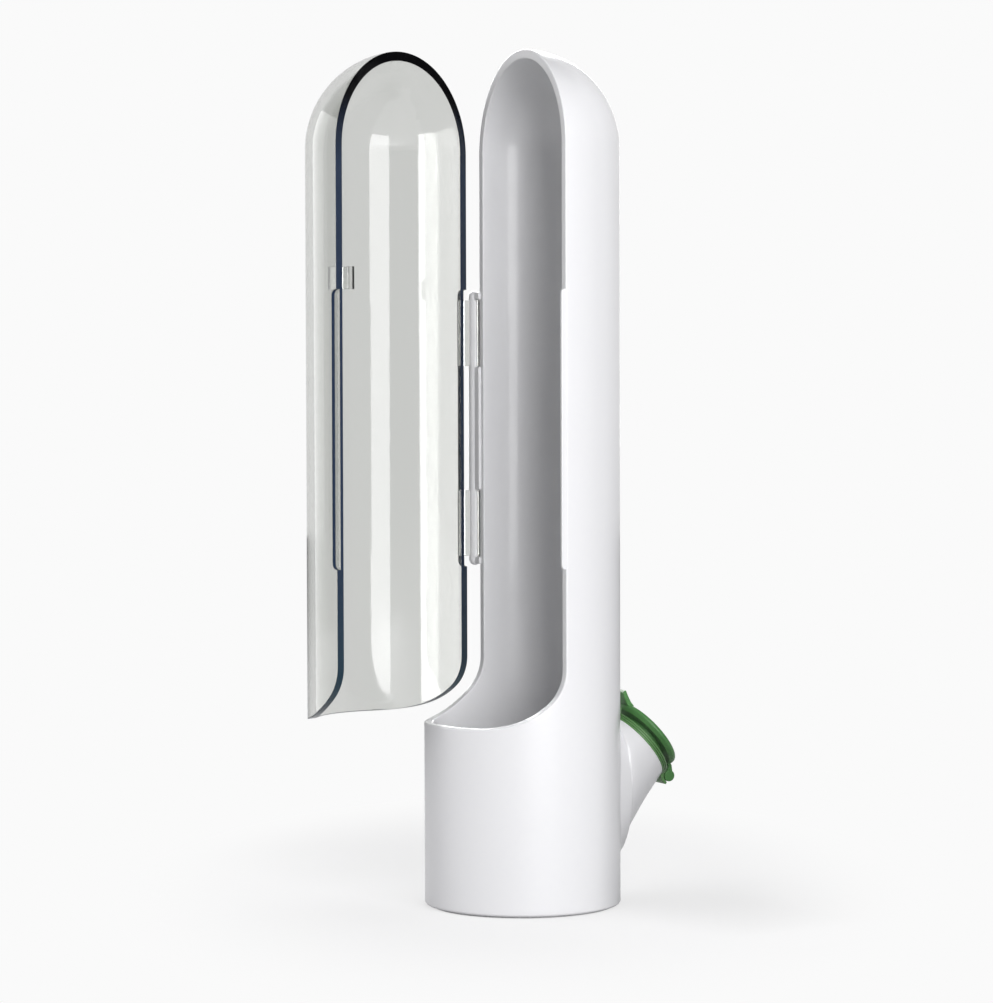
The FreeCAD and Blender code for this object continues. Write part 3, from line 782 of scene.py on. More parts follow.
@dataclass
class HalfCapsule:
    """A wall of the capsule that ends at the opening's curve, on the door's or the shell's side.

    The curve runs down the rim, round a corner of two arcs and forward along the cup. The wall
    is drawn as rings that follow it, from the far middle of the outer face over the rounded rim
    to the far middle of the inner face.
    """

    gap: float
    rim_round: float
    steps: Steps
    outer: float = 32.0
    inner: float = 29.0
    dome: float = 246.2
    cup: float = 60.0
    depth: float = 26.0
    rise: float = 19.0
    tight: float = 14.5
    margin: float = 1.0
    base: Point | None = None

    def wall_points(self) -> list[WallPoint]:
        """Follow the curve from the dome's foot to the front of the cup, before any gap.

        Returns:
            The curve's points.
        """
        steps = self.steps
        sweep = (self.depth - self.tight) ** 2 + self.rise ** 2 - self.tight ** 2
        sweep /= 2 * (self.rise - self.tight)
        turn = atan2(sweep - self.rise, self.depth - self.tight)
        corner_top = self.cup + self.rise
        made = [
            WallPoint(0, self.dome + (corner_top - self.dome) * step / steps.side, 1, 0, 0)
            for step in range(steps.side)
        ]
        arcs = (
            (self.tight, corner_top, self.tight, 0, turn, steps.tight),
            (self.depth, self.cup + sweep, sweep, turn, pi / 2, steps.sweep),
        )
        for back, up, radius, begin, end, count in arcs:
            for step in range(count):
                angle = begin + (end - begin) * step / count
                out, down = cos(angle), sin(angle)
                made.append(WallPoint(radius * out - back, up - radius * down, out, -down, 0))
        for step in range(steps.front + 1):
            made.append(WallPoint(-self.depth, self.cup, 0, -1, step / steps.front))
        return made

    def on_wall(self, point: WallPoint, lift: float, radius: float) -> Point:
        """Where a point of the curve lies on a round wall.

        Args:
            point: the point.
            lift: how far into the wall it is moved, beyond the gap.
            radius: the wall's radius.

        Returns:
            The angle from the rim's plane towards the door, and the height.
        """
        gap = self.gap + (lift if self.base is None else -lift)
        angle = asin((gap * point.shell_out - point.out) / radius)
        return angle + (pi / 2 - angle) * point.share, point.up - gap * point.shell_up

    def far_ends(self, near: list[Point], radius: float) -> list[Point]:
        """Where each point of a ring ends when the ring has crossed the whole wall.

        Args:
            near: the ring beside the rim, as angles and heights.
            radius: the wall's radius.

        Returns:
            The last ring: the door's front line, or the shell's back line and its base.
        """
        if self.base is None:
            lengths = [0.0]
            for (angle, up), (next_angle, next_up) in zip(near, near[1:]):
                lengths.append(lengths[-1] + hypot(radius * (next_angle - angle), next_up - up))
            drop = near[-1][1] - self.dome
            return [(pi / 2, self.dome + drop * length / lengths[-1]) for length in lengths]
        base = self.base[0] if radius == self.outer else self.base[1]
        side, front = self.steps.side, self.steps.front
        corner = self.steps.tight + self.steps.sweep
        made = [(-pi / 2, self.dome + (self.cup - self.dome) * step / side) for step in range(side)]
        made += [(-pi / 2, self.cup + (base - self.cup) * step / corner) for step in range(corner)]
        return made + [(pi * (step / front - 0.5), base) for step in range(front + 1)]

    def ring(self, near: list[Point], radius: float) -> list[Vector]:
        """A closed ring of points from one half's angles and heights.

        Args:
            near: the ring's points below the dome.
            radius: the wall's radius.

        Returns:
            The points, from the top of the dome down one side and up the other.
        """
        rim_angle = near[0][0]
        arch = radius * cos(rim_angle)
        half = [
            Vector((arch * sin(turn), -radius * sin(rim_angle), self.dome + arch * cos(turn)))
            for turn in (pi / 2 * step / self.steps.arch for step in range(self.steps.arch))
        ]
        half += [Vector((radius * cos(angle), -radius * sin(angle), up)) for angle, up in near]
        return half + [Vector((-point.x, point.y, point.z)) for point in half[-2:0:-1]]

    def crossing(self, radius: float) -> list[list[Vector]]:
        """The rings of one face of the wall.

        Args:
            radius: the face's radius.

        Returns:
            The rings, from beside the rim to the face's far middle.
        """
        near = [self.on_wall(point, self.margin, radius) for point in self.wall_points()]
        pairs = list(zip(near, self.far_ends(near, radius)))
        made = []
        for row in range(self.steps.rows + 1):
            share = row / self.steps.rows
            blended = [(a + (c - a) * share, b + (d - b) * share) for (a, b), (c, d) in pairs]
            made.append(self.ring(blended, radius))
        return made

    def rim(self) -> list[list[Vector]]:
        """The rings of the rim, over its two rounded edges.

        Returns:
            The rings, from the outer face to the inner.
        """
        size, count = self.rim_round, self.steps.edge
        turns = [pi / 2 * step / count for step in range(count + 1)]
        quarter = [(size * (1 - sin(turn)), size * (1 - cos(turn))) for turn in turns]
        profile = [(lift, self.outer - inward) for lift, inward in quarter]
        profile += [(lift, self.inner + inward) for lift, inward in reversed(quarter)]
        points = self.wall_points()
        return [
            self.ring([self.on_wall(point, lift, radius) for point in points], radius)
            for lift, radius in profile
        ]

    def draft(self) -> Draft:
        """Draw the wall, still open round its base if it has one.

        Returns:
            The wall as a solid.
        """
        rings = self.crossing(self.outer)[::-1] + self.rim() + self.crossing(self.inner)
        mesh = bmesh.new()
        made = bmesh.ops.create_circle(mesh, cap_ends=False, segments=len(rings[0]), radius=1)
        front = made["verts"]
        for vert, point in zip(front, rings[0]):
            vert.co = point
        edges = mesh.edges[:]
        for ring in rings[1:]:
            verts, edges = next_ring(mesh, edges)
            fresh = set(verts)
            front = [
                next(edge.other_vert(vert) for edge in vert.link_edges if edge.other_vert(vert) in fresh)
                for vert in front
            ]
            for vert, point in zip(front, ring):
                vert.co = point
        return Draft(mesh)


# ---------------------------------------------------------------- body shell

@dataclass(frozen=True)
class Station:
    """One section of the spout: its lower end, its upper end and its half width."""

    low_out: float
    low_up: float
    top_out: float
    top_up: float
    half: float

    def numbers(self) -> tuple[float, ...]:
        """The five numbers, to be blended with another station's."""
        return (self.low_out, self.low_up, self.top_out, self.top_up, self.half)

    def place(self, inset: float) -> Matrix:
        """Where a circle of radius 1 goes to become this section.

        Args:
            inset: how far inside the section it is to lie.

        Returns:
            The circle's place, turn and stretch.
        """
        low = Vector((0, self.low_out, self.low_up))
        top = Vector((0, self.top_out, self.top_up))
        up = (top - low).normalized()
        across = Vector((1, 0, 0))
        tall = (top - low).length / 2 - inset
        matrix = Matrix((across * (self.half - inset), up * tall, across.cross(up))).transposed().to_4x4()
        matrix.translation = (low + top) / 2
        return matrix


def between(stations: tuple[Station, ...], steps: int) -> list[Station]:
    """Fill in smooth sections between the given ones.

    Args:
        stations: the sections that the surface passes through.
        steps: how many steps there are from each to the next.

    Returns:
        All sections from the first to the last.
    """
    made = []
    last = len(stations) - 1
    for place in range(last):
        near = [stations[min(max(place + shift, 0), last)].numbers() for shift in (-1, 0, 1, 2)]
        for step in range(steps):
            t = step / steps
            weights = (
                (-t + 2 * t ** 2 - t ** 3) / 2,
                (2 - 5 * t ** 2 + 3 * t ** 3) / 2,
                (t + 4 * t ** 2 - 3 * t ** 3) / 2,
                (-t ** 2 + t ** 3) / 2,
            )
            made.append(Station(*(sum(w * row[i] for w, row in zip(weights, near)) for i in range(5))))
    return made + [stations[last]]


@dataclass
class BodyShell:
    """Cup, back half of the capsule, spout, hinge rod and latch edge in one moulding."""

    white: bpy.types.Material
    radius: float = 32.0
    inner: float = 29.0
    rim_round: float = 0.45
    foot_round: float = 1.0
    foot_steps: int = 4
    base: Point = (1.5, 2.2)
    seat_radius: float = 30.5
    spout_wall: float = 2.2
    stations: tuple[Station, ...] = (
        Station(24.0, 8.0, 24.0, 60.09, 18.5),
        Station(31.6, 12.3, 31.0, 60.19, 16.2),
        Station(33.6, 17.6, 31.3, 60.19, 15.8),
        Station(36.4, 22.6, 31.54, 60.19, 15.4),
        Station(42.8, 31.6, 32.07, 60.19, 14.3),
        Station(49.4, 39.71, 32.6, 60.09, 13.2),
    )
    station_steps: int = 6
    beyond_mouth: float = 4.0
    core_ends: Point = (-0.5, 80.0)
    crease_width: float = 0.1
    blend_rings: int = 2
    blend_rounds: int = 4
    hinge: float = -35.7
    rod_radius: float = 2.0
    rod_ends: Point = (109.25, 201.25)
    webs: tuple[Point, ...] = ((109.85, 112.15), (134.75, 175.75), (198.35, 200.65))
    web_root: float = -30.8
    web_faces: Point = (-0.9, 1.5)
    web_round: float = 0.25
    tongue: Strip = Strip(foot=0.5, face=-1.4, low=110.75, high=199.75, corner=1.2, steps=8)
    tongue_start: float = 30.75
    tongue_depth: float = 1.15
    tongue_round: float = 0.2
    catch_faces: Point = (0.3, 2.7)
    catch_ends: Point = (199.85, 207.75)
    catch_start: float = 26.0
    catch_depth: float = 3.6
    catch_round: float = 0.3

    @property
    def middle(self) -> float:
        """The radius of the middle of the wall."""
        return (self.radius + self.inner) / 2

    def foot(self) -> list[Point]:
        """The rings below the wall: the rounded edge, the sole and the base plate's seat.

        Returns:
            Each ring's radius and height.
        """
        size, (low, seat) = self.foot_round, self.base
        turns = [pi / 2 * step / self.foot_steps for step in range(1, self.foot_steps + 1)]
        edge = [(self.radius - size * (1 - cos(turn)), low - size * sin(turn)) for turn in turns]
        return edge + [(self.seat_radius, low - size), (self.seat_radius, seat), (self.inner, seat)]

    def wall(self) -> Draft:
        """Draw the cup and the back half of the capsule, with the foot and the base's seat.

        Returns:
            The closed wall.
        """
        draft = HalfCapsule(0.0, self.rim_round, Steps(front=64), base=self.base).draft()
        mesh = draft.mesh
        edges = [
            edge for edge in mesh.edges
            if edge.is_boundary and all(from_axis(vert) > self.middle for vert in edge.verts)
        ]
        radius, up = self.radius, self.base[0]
        for new_radius, new_up in self.foot():
            verts, edges = next_ring(mesh, edges)
            grow = new_radius / radius
            bmesh.ops.scale(mesh, vec=(grow, grow, 1), verts=verts)
            bmesh.ops.translate(mesh, vec=(0, 0, new_up - up), verts=verts)
            radius, up = new_radius, new_up
        bmesh.ops.remove_doubles(mesh, verts=mesh.verts[:], dist=SEAM)
        bmesh.ops.recalc_face_normals(mesh, faces=mesh.faces[:])
        return draft

    def spout(self, inset: float, beyond: float = 0.0) -> Draft:
        """The spout's outside, or its passage.

        Args:
            inset: how far inside the outer face the surface lies.
            beyond: how far it runs on past the mouth.

        Returns:
            The closed solid.
        """
        sections = [station.place(inset) for station in between(self.stations, self.station_steps)]
        sections[-1] = sections[-1] @ Matrix.Translation((0, 0, -beyond))
        mesh = bmesh.new()
        bmesh.ops.create_circle(mesh, cap_ends=True, segments=SPOUT_STEPS, radius=1, matrix=sections[0])
        ring = mesh.edges[:]
        for before, after in zip(sections, sections[1:]):
            verts, ring = next_ring(mesh, ring)
            bmesh.ops.transform(mesh, matrix=after @ before.inverted(), verts=verts)
        bmesh.ops.contextual_create(mesh, geom=ring)
        return Draft(mesh)

    def outside(self, marker: bpy.types.Material) -> bpy.types.Object:
        """The spout's outside, from the middle of the wall outward.

        Args:
            marker: the finish that marks its faces.

        Returns:
            The spout.
        """
        item = self.spout(0.0).solid("spout", marker)
        low, high = self.core_ends
        core = Outline((0, low), (self.middle, low), (self.middle, high), (0, high)).turned(TURN_STEPS)
        combine(item, core.solid("core", marker), Join.CUT)
        return item

    def rod(self) -> Draft:
        """The hinge rod with its round ends.

        Returns:
            The rod at its place.
        """
        size, (low, high) = self.rod_radius, self.rod_ends
        outline = Outline((0, low)).arc((0, low + size), 90, CORNER_STEPS)
        outline.to((size, high - size)).arc((0, high - size), 90, CORNER_STEPS)
        return outline.turned(ROD_STEPS).moved(Matrix.Translation((self.hinge, 0, 0)))

    def fittings(self) -> bpy.types.Object:
        """The hinge rod on its webs and the tongue in the outer half of the latch edge.

        Returns:
            All of them as one object.
        """
        item = self.rod().solid("fittings", self.white)
        for low, high in self.webs:
            web = block(Plane.TOP, (self.hinge, self.web_root), self.web_faces, low, high - low)
            combine(item, web.eased(self.web_round).solid("web", self.white), Join.ADD)
        tongue = self.tongue.draft(self.tongue_start, self.tongue_depth).eased(self.tongue_round)
        combine(item, tongue.solid("tongue", self.white), Join.ADD)
        return item

    def catch(self) -> Draft:
        """The shallow catch for the latch tab."""
        hollow = block(Plane.SIDE, self.catch_faces, self.catch_ends, self.catch_start, self.catch_depth)
        return hollow.eased(self.catch_round)

    def blend_spout(self, item: bpy.types.Object, marker: bpy.types.Material) -> None:
        """Soften the crease where the spout leaves the wall.

        Args:
            item: the shell.
            marker: the finish that marks the spout's faces.
        """
        mesh = bmesh.new()
        mesh.from_mesh(item.data)
        put_in_order(mesh)
        index = item.data.materials.find(marker.name)
        crease = {
            vert
            for edge in mesh.edges
            if len({face.material_index == index for face in edge.link_faces}) == 2
            and all(abs(from_axis(vert) - self.radius) < self.crease_width for vert in edge.verts)
            for vert in edge.verts
        }
        near = set(crease)
        for _ in range(self.blend_rings):
            near |= {edge.other_vert(vert) for vert in near for edge in vert.link_edges}
        near = [vert for vert in mesh.verts if vert in near and vert.co.y > 0]
        around = [face for face in mesh.faces if len(face.verts) > 4 and not crease.isdisjoint(face.verts)]
        bmesh.ops.triangulate(mesh, faces=around)
        for _ in range(self.blend_rounds):
            bmesh.ops.smooth_vert(
                mesh, verts=near, factor=0.5, use_axis_x=True, use_axis_y=True, use_axis_z=True,
            )
        bmesh.ops.recalc_face_normals(mesh, faces=mesh.faces[:])
        mesh.to_mesh(item.data)
        mesh.free()

    def build(self) -> bpy.types.Object:
        """Build the shell and hang it on the keeper.

        Returns:
            The shell.
        """
        marker = bpy.data.materials.new("spout_marker")
        item = self.wall().solid("white_shell", self.white)
        combine(item, self.outside(marker), Join.ADD)
        passage = self.spout(self.spout_wall, self.beyond_mouth)
        combine(item, passage.solid("passage", self.white), Join.CUT)
        combine(item, self.fittings(), Join.ADD)
        combine(item, self.catch().solid("catch", self.white), Join.CUT)
        self.blend_spout(item, marker)
        for face in item.data.polygons:
            face.material_index = 0
        item.data.materials.clear()
        item.data.materials.append(self.white)
        finish_piece(item, Matrix.Identity(4), Body.KEEPER, "body_shell")
        bpy.data.materials.remove(marker)
        return item


# ---------------------------------------------------------------- door

@dataclass
class DoorShell:
    """The clear half capsule, with its rebates, clips and latch tab, standing open."""

    clear: bpy.types.Material
    # the rim's finish: painted reflection, dark where the cut edge mirrors its surroundings
    rim: bpy.types.Material
    gap: float = 0.3
    rim_round: float = 0.2
    outer: float = 32.0
    inner: float = 29.0
    dome: float = 246.2
    rim_margin: float = 0.02
    lip: float = 30.45
    lip_reach: float = 0.05
    lip_facing: float = 0.95
    rebate_depth: float = 3.0
    latch_rebate: Strip = Strip(foot=0.5, face=-2.5, low=110.35, high=200.15, corner=2.0, steps=10)
    hinge_rebate: Strip = Strip(foot=0.5, face=-2.5, low=108.95, high=201.55, corner=2.0, steps=10)
    hinge: float = -35.7
    clip_root: float = -30.8
    clip_inner: float = 2.08
    clip_outer: float = 3.4
    clip_mouth: float = 60.0
    clip_steps: tuple[int, int] = (40, 36)
    clip_length: float = 22.0
    clip_lows: Point = (112.45, 176.05)
    tab_root: tuple[Point, ...] = ((27.0, -5.6), (29.5, -5.6), (29.5, -0.3), (28.6, -0.3))
    tab_tip: tuple[Point, ...] = ((28.6, 2.4), (28.0, 3.0), (27.0, 3.0))
    bump_foot: Point = (28.6, 0.9)
    bump_centre: Point = (28.15, 1.5)
    bump_steps: int = 8
    tab_low: float = 200.15
    tab_height: float = 7.3
    small_round: float = 0.15
    small_bend: float = 50.0
    opened: float = 65.6

    def wall(self) -> bpy.types.Object:
        """The half capsule, with its rim in the rim's finish, a painted reflection.

        Returns:
            The wall.
        """
        item = HalfCapsule(self.gap, self.rim_round, Steps()).draft().solid("clear_door", self.clear)
        # second slot: the rim's painted reflection
        item.data.materials.append(self.rim)
        middle = (self.outer + self.inner) / 2
        flat = (self.outer - self.inner) / 2 - self.rim_margin
        for face in item.data.polygons:
            above = face.center - Vector((0, 0, min(max(face.center.z, 0), self.dome)))
            if abs(above.length - middle) < flat:
                face.material_index = 1
        return item

    def clip(self, low: float) -> Draft:
        """A C clip on its arm.

        Args:
            low: its lower end.

        Returns:
            The clip.
        """
        axis = (self.hinge, 0)
        begin = degrees(asin(-self.gap / self.clip_inner))
        mouth = radians(self.clip_mouth)
        inside, outside = self.clip_steps
        outline = Outline((self.clip_root, -self.gap))
        outline.to((self.hinge + sqrt(self.clip_inner ** 2 - self.gap ** 2), -self.gap))
        outline.arc(axis, self.clip_mouth - 360 - begin, inside)
        outline.to((self.hinge + self.clip_outer * cos(mouth), self.clip_outer * sin(mouth)))
        outline.arc(axis, 270 - self.clip_mouth, outside).to((self.clip_root, -self.clip_outer))
        return outline.prism(Plane.TOP, low, self.clip_length).eased(self.small_round, least=self.small_bend)

    def tab(self) -> Draft:
        """The latch tab with its bump.

        Returns:
            The tab.
        """
        reach, rise = self.bump_foot[0] - self.bump_centre[0], self.bump_centre[1] - self.bump_foot[1]
        outline = Outline(*self.tab_root, self.bump_foot)
        outline.arc(self.bump_centre, 2 * degrees(atan2(rise, reach)), self.bump_steps).to(*self.tab_tip)
        draft = outline.prism(Plane.TOP, self.tab_low, self.tab_height)
        return draft.eased(self.small_round, least=self.small_bend)

    def clear_lips(self, item: bpy.types.Object) -> None:
        """Leave the broad sides of the rebates clear, between their edges in the rim's painted reflection.

        Args:
            item: the door.
        """
        clear = item.data.materials.find(self.clear.name)
        for face in item.data.polygons:
            on_lip = abs(abs(face.center.x) - self.lip) < self.lip_reach
            if on_lip and abs(face.normal.x) > self.lip_facing:
                face.material_index = clear

    def build(self) -> bpy.types.Object:
        """Build the door and hang it on its body.

        Returns:
            The door.
        """
        item = self.wall()
        starts = ((self.latch_rebate, self.lip), (self.hinge_rebate, -self.lip - self.rebate_depth))
        for rebate, start in starts:
            # the rebates' cut faces take the rim's painted reflection
            combine(item, rebate.draft(start, self.rebate_depth).solid("rebate", self.rim), Join.CUT)
        self.clear_lips(item)
        for low in self.clip_lows:
            combine(item, self.clip(low).solid("clip", self.clear), Join.ADD)
        combine(item, self.tab().solid("tab", self.clear), Join.ADD)
        pivot = Matrix.Translation((self.hinge, 0, 0))
        place = pivot @ Matrix.Rotation(-radians(self.opened), 4, "Z") @ pivot.inverted()
        finish_piece(item, place, Body.DOOR, "door_shell")
        return item


# ---------------------------------------------------------------- cap

@dataclass
class CapSeat:
    """Where the cap sits on the mouth: its Z along the mouth's axis, its Y down the face."""

    out: float = 41.0
    up: float = 49.9
    tilt: float = 39.5

    def place(self) -> Matrix:
        """The cap's place in millimetres."""
        return Matrix.Translation((0, self.out, self.up)) @ Matrix.Rotation(radians(self.tilt - 90), 4, "X")


@dataclass
class CapCollar:
    """Soft collar: a grooved band, a sleeve, a tail that cradles the bead and a short tab."""

    silicone: bpy.types.Material
    seat: CapSeat
    radius: float = 13.5
    bore: float = 9.2
    bore_round: float = 0.3
    sleeve: float = 10.8
    sleeve_depth: float = 6.0
    sleeve_bevel: float = 0.3
    band: float = 2.1
    band_round: float = 0.35
    foot_bevel: float = 0.15
    grooves: Point = (0.6, 1.3)
    groove_depth: float = 0.4
    groove_top: float = 0.2
    groove_floor: float = 0.08
    round_steps: tuple[int, int] = (5, 4)
    bead: Point = (15.7, 2.5)
    cradle: float = 2.2
    wrap: float = 24.0
    lean: float = 34.0
    tail_root: tuple[Point, ...] = ((12.5, 0.4), (13.1, 0.15))
    tail_wall: float = 0.9
    tail_sink: float = 0.02
    tail_steps: tuple[int, int] = (12, 14)
    tail_width: float = 7.0
    tail_round: float = 0.15
    tab_side: tuple[Point, ...] = (
        (-12.0, 0.4), (-12.0, 2.1), (-13.1, 2.1), (-14.0, 3.4), (-14.8, 3.0), (-13.7, 0.4),
    )
    tab_width: float = 8.0
    tab_round: float = 0.25

    def ring(self) -> Draft:
        """The band and its sleeve, with two fine grooves round the band.

        Returns:
            The round solid.
        """
        edge, foot, bevel = self.radius, -self.sleeve_depth, self.sleeve_bevel
        outline = Outline((self.bore, foot), (self.sleeve - bevel, foot), (self.sleeve, bevel + foot))
        outline.to((self.sleeve, 0), (edge - self.foot_bevel, 0), (edge, self.foot_bevel))
        floor = edge - self.groove_depth
        for groove in self.grooves:
            outline.to((edge, groove - self.groove_top), (floor, groove - self.groove_floor))
            outline.to((floor, groove + self.groove_floor), (edge, groove + self.groove_top))
        outside, inside = self.round_steps
        top, bore = self.band - self.band_round, self.bore + self.bore_round
        outline.to((edge, top)).arc((edge - self.band_round, top), 90, outside)
        outline.to((bore, self.band)).arc((bore, self.band - self.bore_round), 90, inside)
        return outline.close().turned(TURN_STEPS)

    def tail(self) -> Draft:
        """The tail under the bead.

        Returns:
            The tail.
        """
        (out, up), (under, over) = self.bead, self.tail_steps
        flush = self.band - self.tail_sink
        side = degrees(asin((up - flush) / self.cradle))
        wrap, lean, outside = radians(self.wrap), radians(self.lean), self.cradle + self.tail_wall
        outline = Outline(*self.tail_root, (out - outside * sin(lean), up - outside * cos(lean)))
        outline.arc(self.bead, self.lean + self.wrap, under)
        outline.to((out + self.cradle * sin(wrap), up - self.cradle * cos(wrap)))
        outline.arc(self.bead, side - 90 - self.wrap, over).to((self.tail_root[0][0], flush))
        return outline.slab(self.tail_width).eased(self.tail_round, least=50)

    def tab(self) -> Draft:
        """The short tab that turns up beside the wall."""
        return Outline(*self.tab_side).slab(self.tab_width).eased(self.tab_round, segments=3, least=25)

    def build(self) -> bpy.types.Object:
        """Build the collar and hang it on the keeper.

        Returns:
            The collar.
        """
        item = self.ring().solid("soft_collar", self.silicone)
        for part in (self.tail(), self.tab()):
            combine(item, part.solid("part", self.silicone), Join.ADD)
        finish_piece(item, self.seat.place(), Body.KEEPER, "cap_collar")
        return item


@dataclass
class CapLid:
    """Soft lid: crowned disc, hollow plug, pull tab and the bead of the living hinge."""

    silicone: bpy.types.Material
    seat: CapSeat
    radius: float = 13.2
    face: float = 4.3
    rim_top: float = 6.8
    crown: float = 1.8
    rim_round: float = 0.9
    round_steps: tuple[int, int] = (8, 16)
    undercut: float = 0.95
    undercut_lip: Point = (0.1, 0.15)
    plug: float = 8.9
    plug_end: float = 8.1
    plug_depth: float = 2.5
    plug_taper: float = 2.1
    hollow: float = 6.3
    ceiling: float = 4.9
    bead: Point = (15.7, 2.5)
    bead_radius: float = 1.9
    bead_steps: int = 40
    bead_width: float = 7.0
    bead_round: float = 0.3
    neck_side: tuple[Point, ...] = (
        (12.2, 4.5), (13.3, 4.5), (14.085, 2.8), (15.7, 2.8), (16.0, 4.21), (13.7, 5.6), (12.2, 5.8),
    )
    neck_width: float = 6.0
    neck_round: float = 0.3
    pull_side: tuple[Point, ...] = (
        (-11.2, 5.6), (-11.2, 7.3), (-13.2, 7.3), (-15.4, 7.75),
        (-17.6, 8.4), (-17.6, 6.7), (-15.4, 6.05), (-13.2, 5.6),
    )
    pull_width: float = 8.0
    pull_round: float = 0.4

    def disc(self) -> Draft:
        """The crowned disc and its plug.

        Returns:
            The round solid.
        """
        flat, top = self.radius - self.rim_round, self.rim_top - self.rim_round
        lip = self.face + self.undercut
        crown_radius = flat ** 2 / (2 * self.crown) + self.crown / 2
        inward, upward = self.undercut_lip
        edge, crown = self.round_steps
        outline = Outline((0, self.ceiling), (self.hollow, self.ceiling), (self.hollow, -self.plug_depth))
        outline.to((self.plug_end, -self.plug_depth), (self.plug, self.plug_taper), (self.plug, self.face))
        outline.to((self.radius - self.undercut, self.face), (self.radius - inward, lip))
        outline.to((self.radius, lip + upward), (self.radius, top)).arc((flat, top), 90, edge)
        outline.arc((0, self.rim_top + self.crown - crown_radius), degrees(asin(flat / crown_radius)), crown)
        return outline.turned(TURN_STEPS)

    def bead_roll(self) -> Draft:
        """The bead that the lid turns about.

        Returns:
            The bead.
        """
        across, up = self.bead
        outline = Outline((across, up - self.bead_radius)).arc(self.bead, 360, self.bead_steps)
        return outline.slab(self.bead_width).eased(self.bead_round, segments=3, least=50)

    def neck(self) -> Draft:
        """The tail that joins the lid to the bead."""
        return Outline(*self.neck_side).slab(self.neck_width).eased(self.neck_round, segments=3, least=25)

    def pull(self) -> Draft:
        """The long tab by which the lid is pulled open."""
        return Outline(*self.pull_side).slab(self.pull_width).eased(self.pull_round, segments=3, least=40)

    def build(self) -> bpy.types.Object:
        """Build the lid and hang it on its body.

        Returns:
            The lid.
        """
        item = self.disc().solid("soft_lid", self.silicone)
        for part in (self.pull(), self.neck(), self.bead_roll()):
            combine(item, part.solid("part", self.silicone), Join.ADD)
        finish_piece(item, self.seat.place(), Body.LID, "cap_lid")
        return item


# ---------------------------------------------------------------- studio

@dataclass
class Camera:
    """The camera, by its distance, heights and small turns."""

    width: float = 993.0
    focal: float = 3130.433
    distance: float = 1.019797
    height: float = 0.163082
    pitch: float = 1.77
    yaw: float = -0.462
    roll: float = -0.161
    sensor: float = 36.0

    def build(self) -> None:
        """Make the camera and look through it."""
        pitch, yaw, roll = radians(self.pitch), radians(self.yaw), radians(self.roll)
        back, up = direction(VIEW_AZIMUTH, 0), Vector((0, 0, 1))
        ahead, right = -back, up.cross(back)
        ahead, right = ahead * cos(yaw) + right * sin(yaw), right * cos(yaw) - ahead * sin(yaw)
        ahead, up = ahead * cos(pitch) - up * sin(pitch), up * cos(pitch) + ahead * sin(pitch)
        right, up = right * cos(roll) + up * sin(roll), up * cos(roll) - right * sin(roll)
        data = bpy.data.cameras.new("camera")
        data.sensor_fit = "HORIZONTAL"
        data.sensor_width = self.sensor
        data.lens = self.focal / self.width * self.sensor
        item = bpy.data.objects.new("camera", data)
        place = Matrix((right, up, -ahead)).transposed().to_4x4()
        place.translation = back * self.distance + Vector((0, 0, self.height))
        item.matrix_world = place
        bpy.context.scene.collection.objects.link(item)
        bpy.context.scene.camera = item


@dataclass(frozen=True)
class Softbox:
    """One soft lamp, aimed at the middle of the keeper."""

    name: str
    azimuth: float
    elevation: float
    distance: float
    width: float
    height: float
    power: float
    lights: Lights = Lights.REST
    through: bool = False

    def build(self, door: bpy.types.Object, floor: bpy.types.Object) -> None:
        """Make the lamp.

        Args:
            door: the clear door.
            floor: the floor.
        """
        data = bpy.data.lights.new(self.name, "AREA")
        data.shape = "RECTANGLE"
        data.size = self.width
        data.size_y = self.height
        data.energy = self.power
        item = bpy.data.objects.new(self.name, data)
        away = direction(self.azimuth, self.elevation)
        item.location = AIM + away * self.distance
        item.rotation_euler = away.to_track_quat("Z", "Y").to_euler()
        item.visible_camera = False
        item.visible_transmission = self.through
        if self.through:
            self.hide_from_straight_looks(data)
        named = {
            Lights.FLOOR: [floor], Lights.DOOR: [door], Lights.REST: [door], Lights.KEEPER: [door, floor],
        }
        linked = bpy.data.collections.new(self.name)
        for piece in named[self.lights]:
            linked.objects.link(piece)
        item.light_linking.receiver_collection = linked
        if self.lights in (Lights.REST, Lights.KEEPER):
            for entry in linked.collection_objects:
                entry.light_linking.link_state = "EXCLUDE"
        bpy.context.scene.collection.objects.link(item)

    @staticmethod
    def hide_from_straight_looks(data: bpy.types.Light) -> None:
        """Let a lamp shine only on paths that the door has mirrored once.

        Args:
            data: the lamp.
        """
        data.use_nodes = True
        nodes = Nodes(data.node_tree)
        once = nodes.math("MINIMUM", nodes.rays("Glossy Depth"), 1.0)
        nodes.join(once, nodes.tree.nodes["Emission"].inputs["Strength"])


@dataclass(frozen=True)
class ShadeCard:
    """Card out of sight that keeps most of the key off the spout's flank."""

    azimuth: float = 100.0
    elevation: float = 8.0
    distance: float = 0.1
    width: float = 0.05
    height: float = 0.07
    shaded: tuple[float, float, float] = (0.0, 0.0377, 0.0372)

    def build(self) -> None:
        """Make the card, which nothing sees but which stops lamp light."""
        toward = direction(self.azimuth, self.elevation)
        mesh = bmesh.new()
        bmesh.ops.create_grid(mesh, x_segments=1, y_segments=1, size=0.5)
        item = object_of(mesh, "shade_card")
        item.location = Vector(self.shaded) + self.distance * toward
        item.rotation_euler = toward.to_track_quat("Z", "Y").to_euler()
        item.scale = (self.width, self.height, 1)
        item.visible_camera = item.visible_glossy = False
        item.visible_transmission = item.visible_diffuse = False


